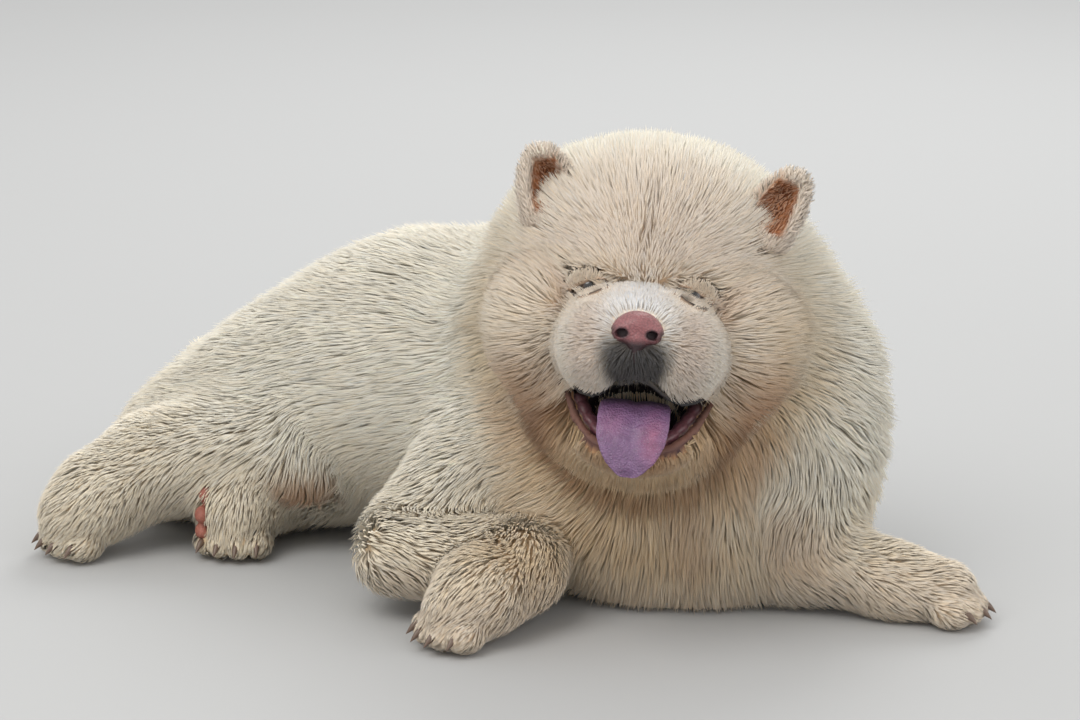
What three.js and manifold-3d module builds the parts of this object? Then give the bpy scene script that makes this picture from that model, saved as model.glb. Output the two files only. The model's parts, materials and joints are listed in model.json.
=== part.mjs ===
// A life-size chow chow lying down, with its head up, its mouth open and its hindquarters rolled on one hip.
// Millimetres, +Z up, +X towards the head end, +Y away from the side the face looks to. The floor is z = 0.
import * as THREE from "three";
import { mergeVertices } from "three/addons/utils/BufferGeometryUtils.js";
import Module from "manifold-3d";

// Driving dimensions
const WITHERS = 500; // standing height of the adult dog at the shoulder
const GAP = 0.45; // clear space between two nodes that touch
const SLIVERS = [0.13, 0.12, 0.11, 0.1, 0.09, 0.08, 0.07, 0.06, 0.05]; // faces flatter than this are merged with their neighbours
const LOCK_CLEAR = 6; // how far the middle line of a lock stays off a smooth node that it passes
const FLOOR_CLEAR = 7; // the middle line of a lock stays this high above the floor
const COAT_BARE = 0.5; // share of a long coat's depth that lies outside its solid core
const BLEND = 26; // how softly one muscle mass runs into the next
const TRUNK_BLEND = 46;
const HEAD_YAW = 3; // degrees the face turns towards the rump's side
const HEAD_LIFT = 12; // degrees the muzzle points above level
const HEAD_LEAN = 5; // degrees the crown leans to the dog's left
const EYES_MIDDLE = [-1, -40, 271];
const MOUTH_ASIDE = 3; // the open mouth sits this far to the dog's left
const EYE_RADIUS = 11;
const EYE_SPREAD = 39; // from the middle of the face to each eye's centre

const scale = WITHERS / 500; // every place below is measured on a dog of 500 mm

const wasm = await Module();
wasm.setup();

// Small vector helpers on plain arrays
const add = (a, b, k = 1) => [a[0] + b[0] * k, a[1] + b[1] * k, a[2] + b[2] * k];
const sub = (a, b) => [a[0] - b[0], a[1] - b[1], a[2] - b[2]];
const dot = (a, b) => a[0] * b[0] + a[1] * b[1] + a[2] * b[2];
const times = (a, k) => [a[0] * k, a[1] * k, a[2] * k];
const cross = (a, b) => [a[1] * b[2] - a[2] * b[1], a[2] * b[0] - a[0] * b[2], a[0] * b[1] - a[1] * b[0]];
const size = (a) => Math.hypot(...a);
const unit = (a) => times(a, 1 / Math.max(size(a), 1e-9));
const mix = (a, b, t) => add(times(a, 1 - t), b, t);
const radians = (degrees) => (degrees * Math.PI) / 180;

// Directions of the head: forward to the nose, towards the dog's left, and up
function headAxes() {
  const yaw = radians(HEAD_YAW);
  const lift = radians(HEAD_LIFT);
  const lean = radians(HEAD_LEAN);
  const forward = [-Math.sin(yaw) * Math.cos(lift), -Math.cos(yaw) * Math.cos(lift), Math.sin(lift)];
  const level = [Math.cos(yaw), -Math.sin(yaw), 0];
  const upright = cross(forward, level);
  const left = add(times(level, Math.cos(lean)), upright, -Math.sin(lean));
  const up = add(times(level, Math.sin(lean)), upright, Math.cos(lean));
  return [forward, left, up];
}
const HEAD = headAxes();
const onHead = (f, l, u) =>
  add(add(add(EYES_MIDDLE, HEAD[0], f), HEAD[1], l), HEAD[2], u);

// Three directions at right angles, the first along a limb or the trunk
function axesAlong(direction) {
  const first = unit(direction);
  const second = unit(cross([0, 0, 1], first));
  return [first, second, cross(first, second)];
}
const LEVEL = [[1, 0, 0], [0, 1, 0], [0, 0, 1]];
const ALONG_TRUNK = axesAlong([-0.8, 0.6, 0]);
const ALONG_CROUP = axesAlong([-0.77, 0.25, -0.58]);
const ALONG_RUMP = axesAlong([-0.85, 0.2, -0.45]);

// Masses of the body: each has its size out to the tips of the coat, and the depth of that coat
const ball = (centre, radii, coat, axes = LEVEL) => ({ centre, radii, coat, axes });
const headBall = (f, l, u, radii, coat) => ball(onHead(f, l, u), radii, coat, HEAD);
const limb = (from, to, radiusFrom, radiusTo, coatFrom, coatTo = coatFrom) => ({
  from, to, radiusFrom, radiusTo, coatFrom, coatTo,
});

const BODY = {
  torso: [
    ball([36, 122, 132], [116, 114, 138], 42, ALONG_TRUNK),
    ball([-50, 150, 144], [146, 128, 138], 36, ALONG_TRUNK),
    ball([-160, 222, 136], [136, 116, 122], 34, ALONG_TRUNK),
    ball([-262, 278, 102], [120, 106, 94], 34, ALONG_CROUP),
    ball([-350, 292, 62], [92, 94, 70], 36, ALONG_RUMP),
    ball([108, 90, 118], [88, 104, 118], 42),
    ball([-50, 76, 120], [74, 84, 104], 32),
    ball([-80, 176, 72], [150, 82, 82], 0, ALONG_TRUNK),
    ball([-318, 278, 52], [70, 58, 58], 0),
  ],
  mane: [
    ball([16, 98, 214], [140, 112, 134], 50),
    ball([38, 76, 166], [148, 100, 112], 48),
    ball([38, 64, 96], [126, 80, 120], 40),
    headBall(-112, 0, -8, [92, 124, 104], 38),
    ball([44, 78, 74], [88, 56, 82], 0),
  ],
  head: [
    headBall(-74, 0, 38, [88, 108, 76], 22),
    headBall(-14, 0, 16, [30, 62, 26], 10),
    headBall(-30, 66, -36, [48, 52, 60], 20),
    headBall(-30, -66, -36, [48, 52, 60], 20),
    headBall(26, 0, -30, [52, 48, 31], 5),
    headBall(36, 31, -43, [36, 32, 31], 5),
    headBall(36, -31, -43, [36, 32, 31], 5),
    headBall(-45, 0, -84, [58, 82, 56], 22),
  ],
};

const LEGS = {
  foreleg_right_upper: [limb([-88, 90, 120], [-170, 38, 58], 74, 45, 26, 16)],
  foreleg_right_lower: [limb([-188, 14, 50], [-92, -14, 48], 37, 33, 14, 10)],
  forepaw_right: [limb([-92, -14, 46], [-122, -48, 38], 36, 33, 9, 8), limb([-122, -48, 36], [-140, -62, 26], 32, 27, 7, 7)],
  foreleg_left_upper: [limb([110, 80, 108], [124, 38, 50], 60, 44, 24, 16)],
  foreleg_left_lower: [limb([124, 36, 42], [196, 8, 29], 40, 29, 12, 8)],
  forepaw_left: [limb([196, 8, 27], [234, -4, 24], 28, 26, 8, 7)],
  hindleg_right_thigh: [limb([-286, 262, 98], [-258, 212, 84], 78, 70, 26, 26)],
  hindleg_right_shank: [limb([-266, 212, 84], [-392, 196, 68], 64, 44, 22, 16)],
  hindpaw_right: [limb([-392, 196, 64], [-434, 172, 46], 41, 37, 12, 10), limb([-434, 172, 46], [-452, 160, 34], 37, 31, 9, 9)],
  hindleg_left_shank: [limb([-214, 246, 56], [-288, 226, 47], 54, 42, 14, 12)],
  hindpaw_left: [limb([-288, 226, 45], [-318, 178, 42], 38, 34, 12, 9), limb([-318, 178, 40], [-322, 164, 32], 34, 31, 7, 7)],
};
const TAIL = [
  [[-352, 336, 92], 24, 24],
  [[-356, 376, 96], 30, 28],
  [[-330, 408, 74], 38, 34],
  [[-286, 420, 60], 44, 40],
  [[-236, 408, 58], 44, 40],
  [[-204, 384, 62], 36, 34],
  [[-190, 364, 66], 20, 20],
];
const TAIL_MASSES = TAIL.slice(1).map(([place, half], i) => limb(TAIL[i][0], place, TAIL[i][1], half, 0));
// What the locks run over: the long coat, and the smooth outsides of the head, legs and tail
const cleared = (mass) =>
  mass.centre
    ? { ...mass, radii: mass.radii.map((r) => r + LOCK_CLEAR), coat: 0 }
    : { ...mass, radiusFrom: mass.radiusFrom + LOCK_CLEAR, radiusTo: mass.radiusTo + LOCK_CLEAR, coatFrom: 0, coatTo: 0 };
const WHOLE = [
  ...BODY.torso,
  ...BODY.mane,
  ...[...BODY.head, ...Object.values(LEGS).flat(), ...TAIL_MASSES].map(cleared),
];


// Distance from a point to a mass whose coat is grown out to a share of its depth
function distanceToBall(p, mass, grow) {
  const q = sub(p, mass.centre);
  let inner = 0;
  let outer = 0;
  for (let i = 0; i < 3; i++) {
    const r = mass.radii[i] + grow;
    const x = dot(q, mass.axes[i]) / r;
    inner += x * x;
    outer += (x / r) * (x / r);
  }
  const k = Math.sqrt(inner);
  return (k * (k - 1)) / Math.max(Math.sqrt(outer), 1e-9);
}
function distanceToLimb(p, mass, bare, extra) {
  const along = sub(mass.to, mass.from);
  const t = Math.min(1, Math.max(0, dot(sub(p, mass.from), along) / dot(along, along)));
  const start = mass.radiusFrom - bare * mass.coatFrom;
  const end = mass.radiusTo - bare * mass.coatTo;
  return size(sub(p, add(mass.from, along, t))) - start * (1 - t) - end * t - extra;
}
function blended(a, b, width) {
  const h = Math.min(1, Math.max(0, 0.5 + (0.5 * (b - a)) / width));
  return b * (1 - h) + a * h - width * h * (1 - h);
}
// The surface that lies a share of the coat's depth under its tips (0: the tips, 1: the skin)
const surfaceOf = (masses, bare, width = BLEND, extra = 0) => (p) =>
  masses.reduce((found, mass) => {
    const d = mass.centre
      ? distanceToBall(p, mass, extra - bare * mass.coat)
      : distanceToLimb(p, mass, bare, extra);
    return blended(found, d, width);
  }, 1e4);

// Solids from closed geometry and back
function solidOf(geometry) {
  const bare = geometry.index ? geometry.toNonIndexed() : geometry.clone();
  bare.deleteAttribute("normal");
  bare.deleteAttribute("uv");
  const merged = mergeVertices(bare, 1e-3);
  return new wasm.Manifold(
    new wasm.Mesh({
      numProp: 3,
      vertProperties: new Float32Array(merged.attributes.position.array),
      triVerts: new Uint32Array(merged.index.array),
    }),
  );
}
function geometryOf(solid) {
  const mesh = solid.getMesh();
  const places = new Float32Array(mesh.numVert * 3);
  for (let i = 0; i < mesh.numVert; i++)
    places.set(mesh.vertProperties.subarray(i * mesh.numProp, i * mesh.numProp + 3), i * 3);
  return new THREE.BufferGeometry()
    .setAttribute("position", new THREE.BufferAttribute(places, 3))
    .setIndex(new THREE.BufferAttribute(new Uint32Array(mesh.triVerts), 1));
}
function closedRings(rings, first, last) {
  const places = [first, ...rings.flat(), last];
  const sides = rings[0].length;
  const faces = [];
  const at = (ring, side) => 1 + ring * sides + ((side + sides) % sides);
  for (let s = 0; s < sides; s++) {
    faces.push(0, at(0, s + 1), at(0, s));
    faces.push(places.length - 1, at(rings.length - 1, s), at(rings.length - 1, s + 1));
    for (let r = 0; r + 1 < rings.length; r++) {
      faces.push(at(r, s), at(r, s + 1), at(r + 1, s + 1));
      faces.push(at(r, s), at(r + 1, s + 1), at(r + 1, s));
    }
  }
  return new THREE.BufferGeometry()
    .setAttribute("position", new THREE.Float32BufferAttribute(places.flat(), 3))
    .setIndex(faces);
}

// How far a ray from inside the flesh goes before it leaves it
function reach(surface, from, direction) {
  let inside = 0;
  let outside = 5;
  while (surface(add(from, direction, outside)) < 0) {
    inside = outside;
    outside += 5;
  }
  for (let i = 0; i < 12; i++) {
    const middle = (inside + outside) / 2;
    if (surface(add(from, direction, middle)) < 0) inside = middle;
    else outside = middle;
  }
  return (inside + outside) / 2;
}
// A closed skin round an axis. Rays leave each axis point square to it, and fan out over both ends.
function skinRound(points, surface, { rings, sides, fan = [24, 46, 68], up = [0, 0, 1] }) {
  const curve = new THREE.CatmullRomCurve3(points.map((p) => new THREE.Vector3(...p)), false, "centripetal");
  const stations = [];
  for (let i = 0; i <= rings; i++) stations.push([i / rings, 0]);
  const start = [...fan].reverse().map((a) => [0, -a]);
  const end = fan.map((a) => [1, a]);
  const made = [...start, ...stations, ...end].map(([t, tilt]) => {
    const centre = curve.getPoint(t).toArray();
    const tangent = curve.getTangent(t).toArray();
    const side = unit(cross(up, tangent));
    const over = cross(tangent, side);
    const lean = radians(tilt);
    return Array.from({ length: sides }, (_, k) => {
      const turn = (k / sides) * 2 * Math.PI;
      const square = add(times(side, Math.cos(turn)), over, Math.sin(turn));
      const ray = add(times(square, Math.cos(lean)), tangent, Math.sin(lean));
      return add(centre, ray, reach(surface, centre, ray));
    });
  });
  const tip = (t, way) => {
    const centre = curve.getPoint(t).toArray();
    const ray = times(curve.getTangent(t).toArray(), way);
    return add(centre, ray, reach(surface, centre, ray));
  };
  return solidOf(closedRings(made, tip(0, -1), tip(1, 1)));
}
// A closed tube of oval section along a curve: each station is [place, half width, half thickness]
function ovalTube(stations, sides, wide, grow = 0) {
  const curve = new THREE.CatmullRomCurve3(stations.map((s) => new THREE.Vector3(...s[0])), false, "centripetal");
  const count = stations.length - 1;
  const rings = stations.map(([centre, half, thin], i) => {
    const tangent = curve.getTangent(i / count).toArray();
    const side = unit(sub(wide, times(tangent, dot(wide, tangent))));
    const over = cross(tangent, side);
    return Array.from({ length: sides }, (_, k) => {
      const turn = (k / sides) * 2 * Math.PI;
      const across = add(centre, side, Math.cos(turn) * (half + grow));
      return add(across, over, Math.sin(turn) * (thin + grow));
    });
  });
  const first = stations[0];
  const last = stations[count];
  const startWay = curve.getTangent(0).toArray();
  const endWay = curve.getTangent(1).toArray();
  return solidOf(
    closedRings(
      rings,
      add(first[0], startWay, -(Math.min(first[1], first[2]) * 0.6 + grow)),
      add(last[0], endWay, Math.min(last[1], last[2]) * 0.6 + grow),
    ),
  );
}
const oval = (centre, radii, axes, sides = 14, grow = 0) => {
  const basis = new THREE.Matrix4().makeBasis(...axes.map((a) => new THREE.Vector3(...a)));
  const turned = new THREE.SphereGeometry(1, sides, Math.round(sides * 0.6))
    .scale(radii[0] + grow, radii[1] + grow, radii[2] + grow)
    .applyMatrix4(basis)
    .translate(...centre);
  return solidOf(turned);
};
const joined = (solids) => wasm.Manifold.union(solids);
const largest = (solid) =>
  solid.decompose().reduce((a, b) => (a.volume() > b.volume() ? a : b));
// True if every edge of a solid joins just two faces, also where its corners are rounded off
function closesCleanly(solid) {
  const mesh = solid.getMesh();
  const corner = Array.from(mesh.triVerts, (v) =>
    [0, 1, 2].map((i) => mesh.vertProperties[v * mesh.numProp + i].toFixed(4)).join());
  const uses = new Map();
  for (let i = 0; i < corner.length; i += 3) {
    const [a, b, c] = corner.slice(i, i + 3);
    if (a === b || b === c || c === a) continue;
    for (const edge of [[a, b], [b, c], [c, a]]) {
      const key = edge.sort().join(" ");
      uses.set(key, (uses.get(key) ?? 0) + 1);
    }
  }
  return [...uses.values()].every((count) => count === 2);
}
// Where two folds of a surface touch along an edge, one is drawn in by a hair, so that each edge joins two faces
function foldsParted(solid) {
  const mesh = solid.getMesh();
  const place = (v) => Array.from(mesh.vertProperties.subarray(v * mesh.numProp, v * mesh.numProp + 3));
  const name = (p) => p.map((x) => x.toFixed(4)).join();
  const faces = [];
  for (let i = 0; i < mesh.triVerts.length; i += 3) {
    const face = [0, 1, 2].map((k) => place(mesh.triVerts[i + k]));
    if (new Set(face.map(name)).size === 3) faces.push(face);
  }
  const edges = new Map();
  faces.forEach((face, f) => {
    for (let k = 0; k < 3; k++) {
      const ends = [face[k], face[(k + 1) % 3]];
      const [first, second] = ends.map(name);
      const key = first < second ? first + " " + second : second + " " + first;
      if (!edges.has(key)) edges.set(key, []);
      edges.get(key).push({ f, k, forward: first < second, ends, far: face[(k + 2) % 3] });
    }
  });
  const done = new Set();
  for (const uses of edges.values()) {
    if (uses.length !== 4 || uses.some(({ f }) => done.has(f))) continue;
    const [a, b] = uses.find((use) => use.forward).ends;
    const axis = unit(sub(b, a));
    const across = unit(cross(axis, Math.abs(axis[2]) < 0.9 ? [0, 0, 1] : [1, 0, 0]));
    const over = cross(axis, across);
    for (const use of uses) {
      const arm = sub(use.far, a);
      use.angle = Math.atan2(dot(arm, over), dot(arm, across));
    }
    uses.sort((p, q) => p.angle - q.angle);
    const start = uses.findIndex((use, i) => !use.forward && uses[(i + 1) % 4].forward);
    if (start < 0) continue;
    const pair = [uses[start], uses[(start + 1) % 4]];
    let wedge = pair[1].angle - pair[0].angle;
    if (wedge <= 0) wedge += 2 * Math.PI;
    const turn = pair[0].angle + wedge / 2;
    const inward = add(times(across, Math.cos(turn)), over, Math.sin(turn));
    const middle = add(times(add(a, b), 0.5), inward, Math.min(0.05, size(sub(b, a)) * 0.1));
    for (const { f, k } of pair) {
      const face = faces[f];
      const [p, q, r] = [face[k], face[(k + 1) % 3], face[(k + 2) % 3]];
      faces[f] = [p, middle, r];
      faces.push([middle, q, r]);
      done.add(f);
    }
  }
  const corners = new Float32Array(faces.flat(2));
  return solidOf(new THREE.BufferGeometry().setAttribute("position", new THREE.BufferAttribute(corners, 3)));
}
// Merges slivers with their neighbours as far as the surface stays closed
function tidied(solid) {
  const whole = largest(solid);
  let first;
  for (const width of SLIVERS) {
    const merged = largest(solidOf(geometryOf(whole.simplify(width))));
    if (closesCleanly(merged)) return merged;
    const parted = foldsParted(merged);
    if (closesCleanly(parted)) return parted;
    first ??= merged;
  }
  return first;
}
const aboveFloor = solidOf(new THREE.BoxGeometry(2000, 2000, 1000).translate(0, 0, 500));

// Locks of the long coat
const ROOT_DEPTH = 0.85; // how deep a lock starts, as a share of the coat's depth
const LOCK_RISE = [ROOT_DEPTH, 0.4, 0.14]; // the depth of a lock's middle line, root to tip
const LOCK_TAPER = [0.8, 1, 0.72];
const LOCK_THINNING = [1, 1, 0.7];

function seeded(seed) {
  let state = seed;
  return () => {
    state = (state + 0x6d2b79f5) | 0;
    let t = Math.imul(state ^ (state >>> 15), 1 | state);
    t = (t + Math.imul(t ^ (t >>> 7), 61 | t)) ^ t;
    return ((t ^ (t >>> 14)) >>> 0) / 4294967296;
  };
}
function normalAt(surface, p) {
  const e = 2;
  return unit([0, 1, 2].map((i) => {
    const step = [0, 0, 0];
    step[i] = e;
    return surface(add(p, step)) - surface(sub(p, step));
  }));
}
// Moves a point straight out or in until it lies at a share of the coat's depth
function settled(p, bare) {
  const surface = surfaceOf(WHOLE, bare, BLEND);
  let q = p;
  for (let i = 0; i < 3; i++) q = add(q, normalAt(surface, q), -surface(q) * 0.9);
  return [q[0], q[1], Math.max(q[2], FLOOR_CLEAR)];
}
// One lock: it leaves the core at its root and runs along the coat's lie up to the tips
function layLock(root, lie, { length, half, thin, lift }, random) {
  const steps = LOCK_RISE.length;
  const reachOut = length * (0.85 + 0.3 * random());
  const turn = (random() - 0.5) * 0.5;
  const high = (random() - 0.5) * 0.08;
  let p = settled(root, ROOT_DEPTH);
  const rings = [];
  for (let i = 0; i <= steps; i++) {
    const last = i === steps;
    const normal = normalAt(surfaceOf(WHOLE, 0, BLEND), p);
    const flow = lie(p, normal);
    const level = unit(sub(flow, times(normal, dot(flow, normal))));
    const across = cross(normal, level);
    const way = unit(add(level, across, turn));
    if (last) return { rings, tip: add(p, normal, lift) };
    const side = cross(normal, way);
    const width = half * LOCK_TAPER[i] * (0.9 + 0.2 * random());
    rings.push({ centre: p, side, normal, width, thin: thin * LOCK_THINNING[i] });
    const next = i + 1 < steps ? Math.max(0.05, LOCK_RISE[i + 1] + high) : 0;
    p = settled(add(p, way, reachOut * (i === 0 ? 0.26 : 0.37)), next);
  }
}
function lockSolid({ rings, tip }, grow) {
  const made = rings.map(({ centre, side, normal, width, thin }) => [
    add(add(centre, side, -(width + 2 * grow)), normal, -(thin * 0.5 + grow)),
    add(add(centre, side, width + 2 * grow), normal, -(thin * 0.5 + grow)),
    add(centre, normal, thin + grow),
  ]);
  const first = rings[0].centre;
  const end = rings[rings.length - 1].centre;
  return solidOf(closedRings(made, first, add(tip, unit(sub(tip, end)), 3 * grow)));
}
// Roots in staggered rows round an axis, and over its ends
function rowsOfRoots(points, surface, { rows, perRow, fan = [[], []], up }, random) {
  const curve = new THREE.CatmullRomCurve3(points.map((p) => new THREE.Vector3(...p)), false, "centripetal");
  const stations = Array.from({ length: rows }, (_, i) => [i / (rows - 1), 0, perRow]);
  for (const [tilt, count] of fan[0]) stations.push([0, -tilt, count]);
  for (const [tilt, count] of fan[1]) stations.push([1, tilt, count]);
  return stations.flatMap(([t, tilt, count], row) => {
    const centre = curve.getPoint(t).toArray();
    const tangent = curve.getTangent(t).toArray();
    const side = unit(cross(up, tangent));
    const over = cross(tangent, side);
    return Array.from({ length: count }, (_, k) => {
      const turn = ((k + (row % 2) / 2 + (random() - 0.5) * 0.35) / count) * 2 * Math.PI;
      const lean = radians(tilt) + (random() - 0.5) * 0.12;
      const square = add(times(side, Math.cos(turn)), over, Math.sin(turn));
      const ray = add(times(square, Math.cos(lean)), tangent, Math.sin(lean));
      return add(centre, ray, reach(surface, centre, ray));
    });
  });
}
function layCoat(seed, points, surface, layout, lie, shape, keep) {
  const random = seeded(seed);
  return rowsOfRoots(points, surface, layout, random)
    .filter(keep)
    .map((root) => layLock(root, lie, shape, random));
}

// Each node's maker takes the extra size that clears its neighbours, and returns a solid
const mirrored = (side) => (f, l, u) => onHead(f, l * side, u);

const tailTips = surfaceOf(TAIL_MASSES, 0, 14);
const legTips = surfaceOf(Object.values(LEGS).flat(), 0, 14);
const TORSO_AXIS = [[70, 80, 130], [-50, 150, 138], [-165, 236, 128], [-270, 280, 92], [-352, 292, 62]];
const MANE_AXIS = [[12, 84, 240], [16, 72, 200], [24, 62, 140], [34, 60, 70], [36, 60, 40]];
const torsoCore = surfaceOf(BODY.torso, COAT_BARE, TRUNK_BLEND);
const maneCore = surfaceOf(BODY.mane, COAT_BARE, TRUNK_BLEND);
const headTips = surfaceOf(BODY.head, 0);
const maneTips = surfaceOf(BODY.mane, 0, TRUNK_BLEND);

// The ruff spreads out from the face, back over the neck and down the chest
const MANE_LOCKS = layCoat(
  29, MANE_AXIS, maneCore,
  { rows: 6, perRow: 16, fan: [[[32, 11], [64, 6]], []], up: [0, 1, 0] },
  (p) => add(add(unit(sub(p, onHead(-60, 0, 0))), HEAD[0], -0.7), [0, 0, -0.55]),
  { length: 90, half: 23, thin: 4, lift: 1 },
  (p) => p[2] > 26 && headTips(p) > 0 && torsoCore(p) > 3,
);

const clearOfLocks = (p, locks) =>
  locks.every(({ rings, tip }) => size(sub(p, tip)) > 12 && rings.every((r) => size(sub(p, r.centre)) > 28));
const TORSO_LOCKS = layCoat(
  13, TORSO_AXIS, torsoCore,
  { rows: 10, perRow: 13, fan: [[], [[35, 9]]], up: [0, 0, 1] },
  () => [-0.78, 0.52, -0.34],
  { length: 92, half: 25, thin: 4, lift: 1 },
  (p) => p[2] > 46 && maneTips(p) > 4 && legTips(p) > 4 && tailTips(p) > 4 && clearOfLocks(p, MANE_LOCKS),
);
const withLocks = (core, locks, grow) => joined([core, ...locks.map((lock) => lockSolid(lock, 2 * grow))]);

function torso(grow) {
  const surface = surfaceOf(BODY.torso, COAT_BARE, TRUNK_BLEND, grow);
  return withLocks(skinRound(TORSO_AXIS, surface, { rings: 8, sides: 16 }), TORSO_LOCKS, grow);
}
function mane(grow) {
  const surface = surfaceOf(BODY.mane, COAT_BARE, TRUNK_BLEND, grow);
  const core = skinRound(MANE_AXIS, surface, { rings: 6, sides: 16, up: [0, 1, 0] });
  return withLocks(core, MANE_LOCKS, grow);
}
function skull(grow) {
  const axis = [onHead(-90, 0, 0), onHead(-50, 0, -14), onHead(-10, 0, -28), onHead(32, 0, -42)];
  return skinRound(axis, surfaceOf(BODY.head, 0, BLEND, grow), { rings: 8, sides: 24, up: HEAD[2] });
}
const socket = (side) => oval(onHead(10, (EYE_SPREAD - 1) * side, -2), [22, 15, 8.5], HEAD, 12);
const mouth = (grow) => oval(onHead(24, MOUTH_ASIDE, -90), [50, 40, 28], HEAD, 12, grow);
function lids(side) {
  const at = mirrored(side);
  const rim = (rise) =>
    ovalTube(
      [
        [at(4, 23, -4), 2, 2],
        [at(5, 31, -3 + rise * 5), 4, 3.4],
        [at(3, 39, -1 + rise * 7), 5, 3.8],
        [at(-3, 47, -1 + rise * 5), 4.4, 3.4],
        [at(-11, 54, -4), 2, 2],
      ],
      6,
      HEAD[0],
    );
  return [rim(1), rim(-1)];
}
function lipEdge(points, radius) {
  return ovalTube(points.map((p, i) => {
    const end = i === 0 || i === points.length - 1;
    return [onHead(...p), end ? radius * 0.5 : radius, end ? radius * 0.5 : radius];
  }), 7, HEAD[2]);
}
const bothSides = (half) => [...half.map(([f, l, u]) => [f, -l, u]), ...[...half].reverse().slice(1)];
const UPPER_LIP = bothSides([[-6, 58, -62], [20, 54, -71], [48, 40, -74], [66, 18, -66], [70, 0, -56]]);
const LOWER_LIP = bothSides([[-6, 50, -76], [10, 49, -87], [28, 49, -101], [43, 39, -113], [52, 22, -120], [55.5, 0, -123]]);

function head(grow) {
  const flesh = skull(grow);
  if (grow) return joined([flesh, lipEdge(UPPER_LIP, 3 + grow)]).subtract(mouth(-grow));
  const opened = wasm.Manifold.difference([flesh, socket(1), socket(-1), mouth(0)]);
  return joined([opened, ...lids(1), ...lids(-1), lipEdge(UPPER_LIP, 3)]);
}
// All that lies above the slope from the corners of the mouth down to the front of the lower lip
function aboveLowerLip() {
  const slope = radians(38);
  const out = add(times(HEAD[2], Math.cos(slope)), HEAD[0], Math.sin(slope));
  const forward = add(times(HEAD[0], Math.cos(slope)), HEAD[2], -Math.sin(slope));
  const basis = new THREE.Matrix4().makeBasis(...[forward, HEAD[1], out].map((a) => new THREE.Vector3(...a)));
  const centre = add(onHead(25, 0, -99), out, 60);
  return solidOf(new THREE.BoxGeometry(240, 200, 120).applyMatrix4(basis).translate(...centre));
}
function jaw(grow) {
  const masses = [
    headBall(2, MOUTH_ASIDE, -108, [58, 58, 38], 8),
    headBall(-38, MOUTH_ASIDE, -104, [44, 56, 38], 14),
  ];
  const axis = [onHead(-50, 0, -104), onHead(-20, 0, -106), onHead(24, 0, -108)];
  const flesh = skinRound(axis, surfaceOf(masses, 0, BLEND, grow), { rings: 5, sides: 20, up: HEAD[2] });
  const lip = lipEdge(LOWER_LIP.map(([f, l, u]) => [f, l + MOUTH_ASIDE, u]), 3 + grow);
  if (grow) return joined([flesh, lip]);
  return joined([wasm.Manifold.difference([flesh, mouth(0), aboveLowerLip()]), lip]);
}
function tongue(grow) {
  const stations = [
    [0, -78, 18, 5],
    [20, -74, 24, 5.5],
    [37, -76, 27, 5],
    [50, -83, 28, 4.6],
    [58, -94, 28, 4.4],
    [63, -107, 26, 4],
    [65, -119, 21, 3.6],
    [65, -128, 13, 3],
    [64.5, -132, 6, 2],
  ].map(([f, u, half, thin]) => [onHead(f, MOUTH_ASIDE + 2, u), half, thin]);
  return ovalTube(stations, 12, HEAD[1], grow);
}
const eye = (side, grow) =>
  oval(onHead(-10, EYE_SPREAD * side, -1), [EYE_RADIUS, EYE_RADIUS, EYE_RADIUS], HEAD, 10, grow);
function nose(grow) {
  const pad = joined([
    oval(onHead(70, 0, -26), [13, 16, 14], HEAD, 10, grow),
    oval(onHead(71, 11, -29), [11, 10, 10], HEAD, 7, grow),
    oval(onHead(71, -11, -29), [11, 10, 10], HEAD, 7, grow),
  ]);
  if (grow) return pad;
  const nostrils = [1, -1].map((side) => oval(onHead(82, 10 * side, -30), [7, 3.4, 4.4], HEAD, 6));
  return wasm.Manifold.difference([pad, ...nostrils]);
}
function ear(side, grow) {
  const at = mirrored(side);
  const base = at(-36, side > 0 ? 84 : 74, 48);
  const tip = at(-30, side > 0 ? 103 : 85, 96);
  const along = sub(tip, base);
  const wide = unit(add(HEAD[1], HEAD[0], 0.25 * side));
  const place = (t, f) => add(add(base, along, t), HEAD[0], f);
  const outer = ovalTube(
    [
      [place(0, -2), 24, 14],
      [place(0.3, -2), 24, 13],
      [place(0.6, -2), 20.5, 11],
      [place(0.85, -1), 14, 8],
      [place(0.96, 0), 8.5, 5],
    ], 12, wide, grow);
  if (grow) return outer;
  const cup = ovalTube(
    [
      [place(0.18, 10), 9, 5],
      [place(0.38, 10), 15, 10],
      [place(0.62, 9), 13, 9],
      [place(0.82, 8), 7, 5],
    ], 8, wide);
  return wasm.Manifold.difference([outer, cup]);
}

// A leg's stretch from its masses, skinned round the line that joins them
function stretch(masses, grow, { rings = 3, sides = 12, up = [0, 0, 1] } = {}) {
  const points = [masses[0].from, ...masses.map((m) => m.to)];
  return skinRound(points, surfaceOf(masses, 0, 14, grow), { rings, sides, up, fan: [28, 58] });
}
// Four toes in a row, each ending in a blunt claw
function toes(wrist, tip, { spread, length, radius, grow = 0, claws = true }) {
  const forward = unit(sub(tip, wrist));
  const across = unit(cross(forward, [0, 0, 1]));
  const solids = [];
  [-1.5, -0.5, 0.5, 1.5].forEach((place) => {
    const ahead = length * (Math.abs(place) > 1 ? 0.12 : 0.42);
    const way = unit(add(forward, across, place * 0.16));
    const centre = add(add(tip, across, place * spread), forward, ahead);
    const low = [centre[0], centre[1], radius + 1];
    const axes = [way, unit(cross([0, 0, 1], way)), [0, 0, 1]];
    solids.push(oval(low, [radius * 1.45, radius, radius * 1.05], axes, 8, grow));
    if (claws)
      solids.push(
        ovalTube(
          [
            [add(low, way, radius * 0.9), 2.6, 3.2],
            [add(add(low, way, radius * 1.4), [0, 0, -1], 2), 2, 2.8],
            [add(add(low, way, radius * 1.62), [0, 0, -1], 5), 0.9, 1.2],
          ], 4, axes[1], grow),
      );
  });
  return solids;
}
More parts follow.
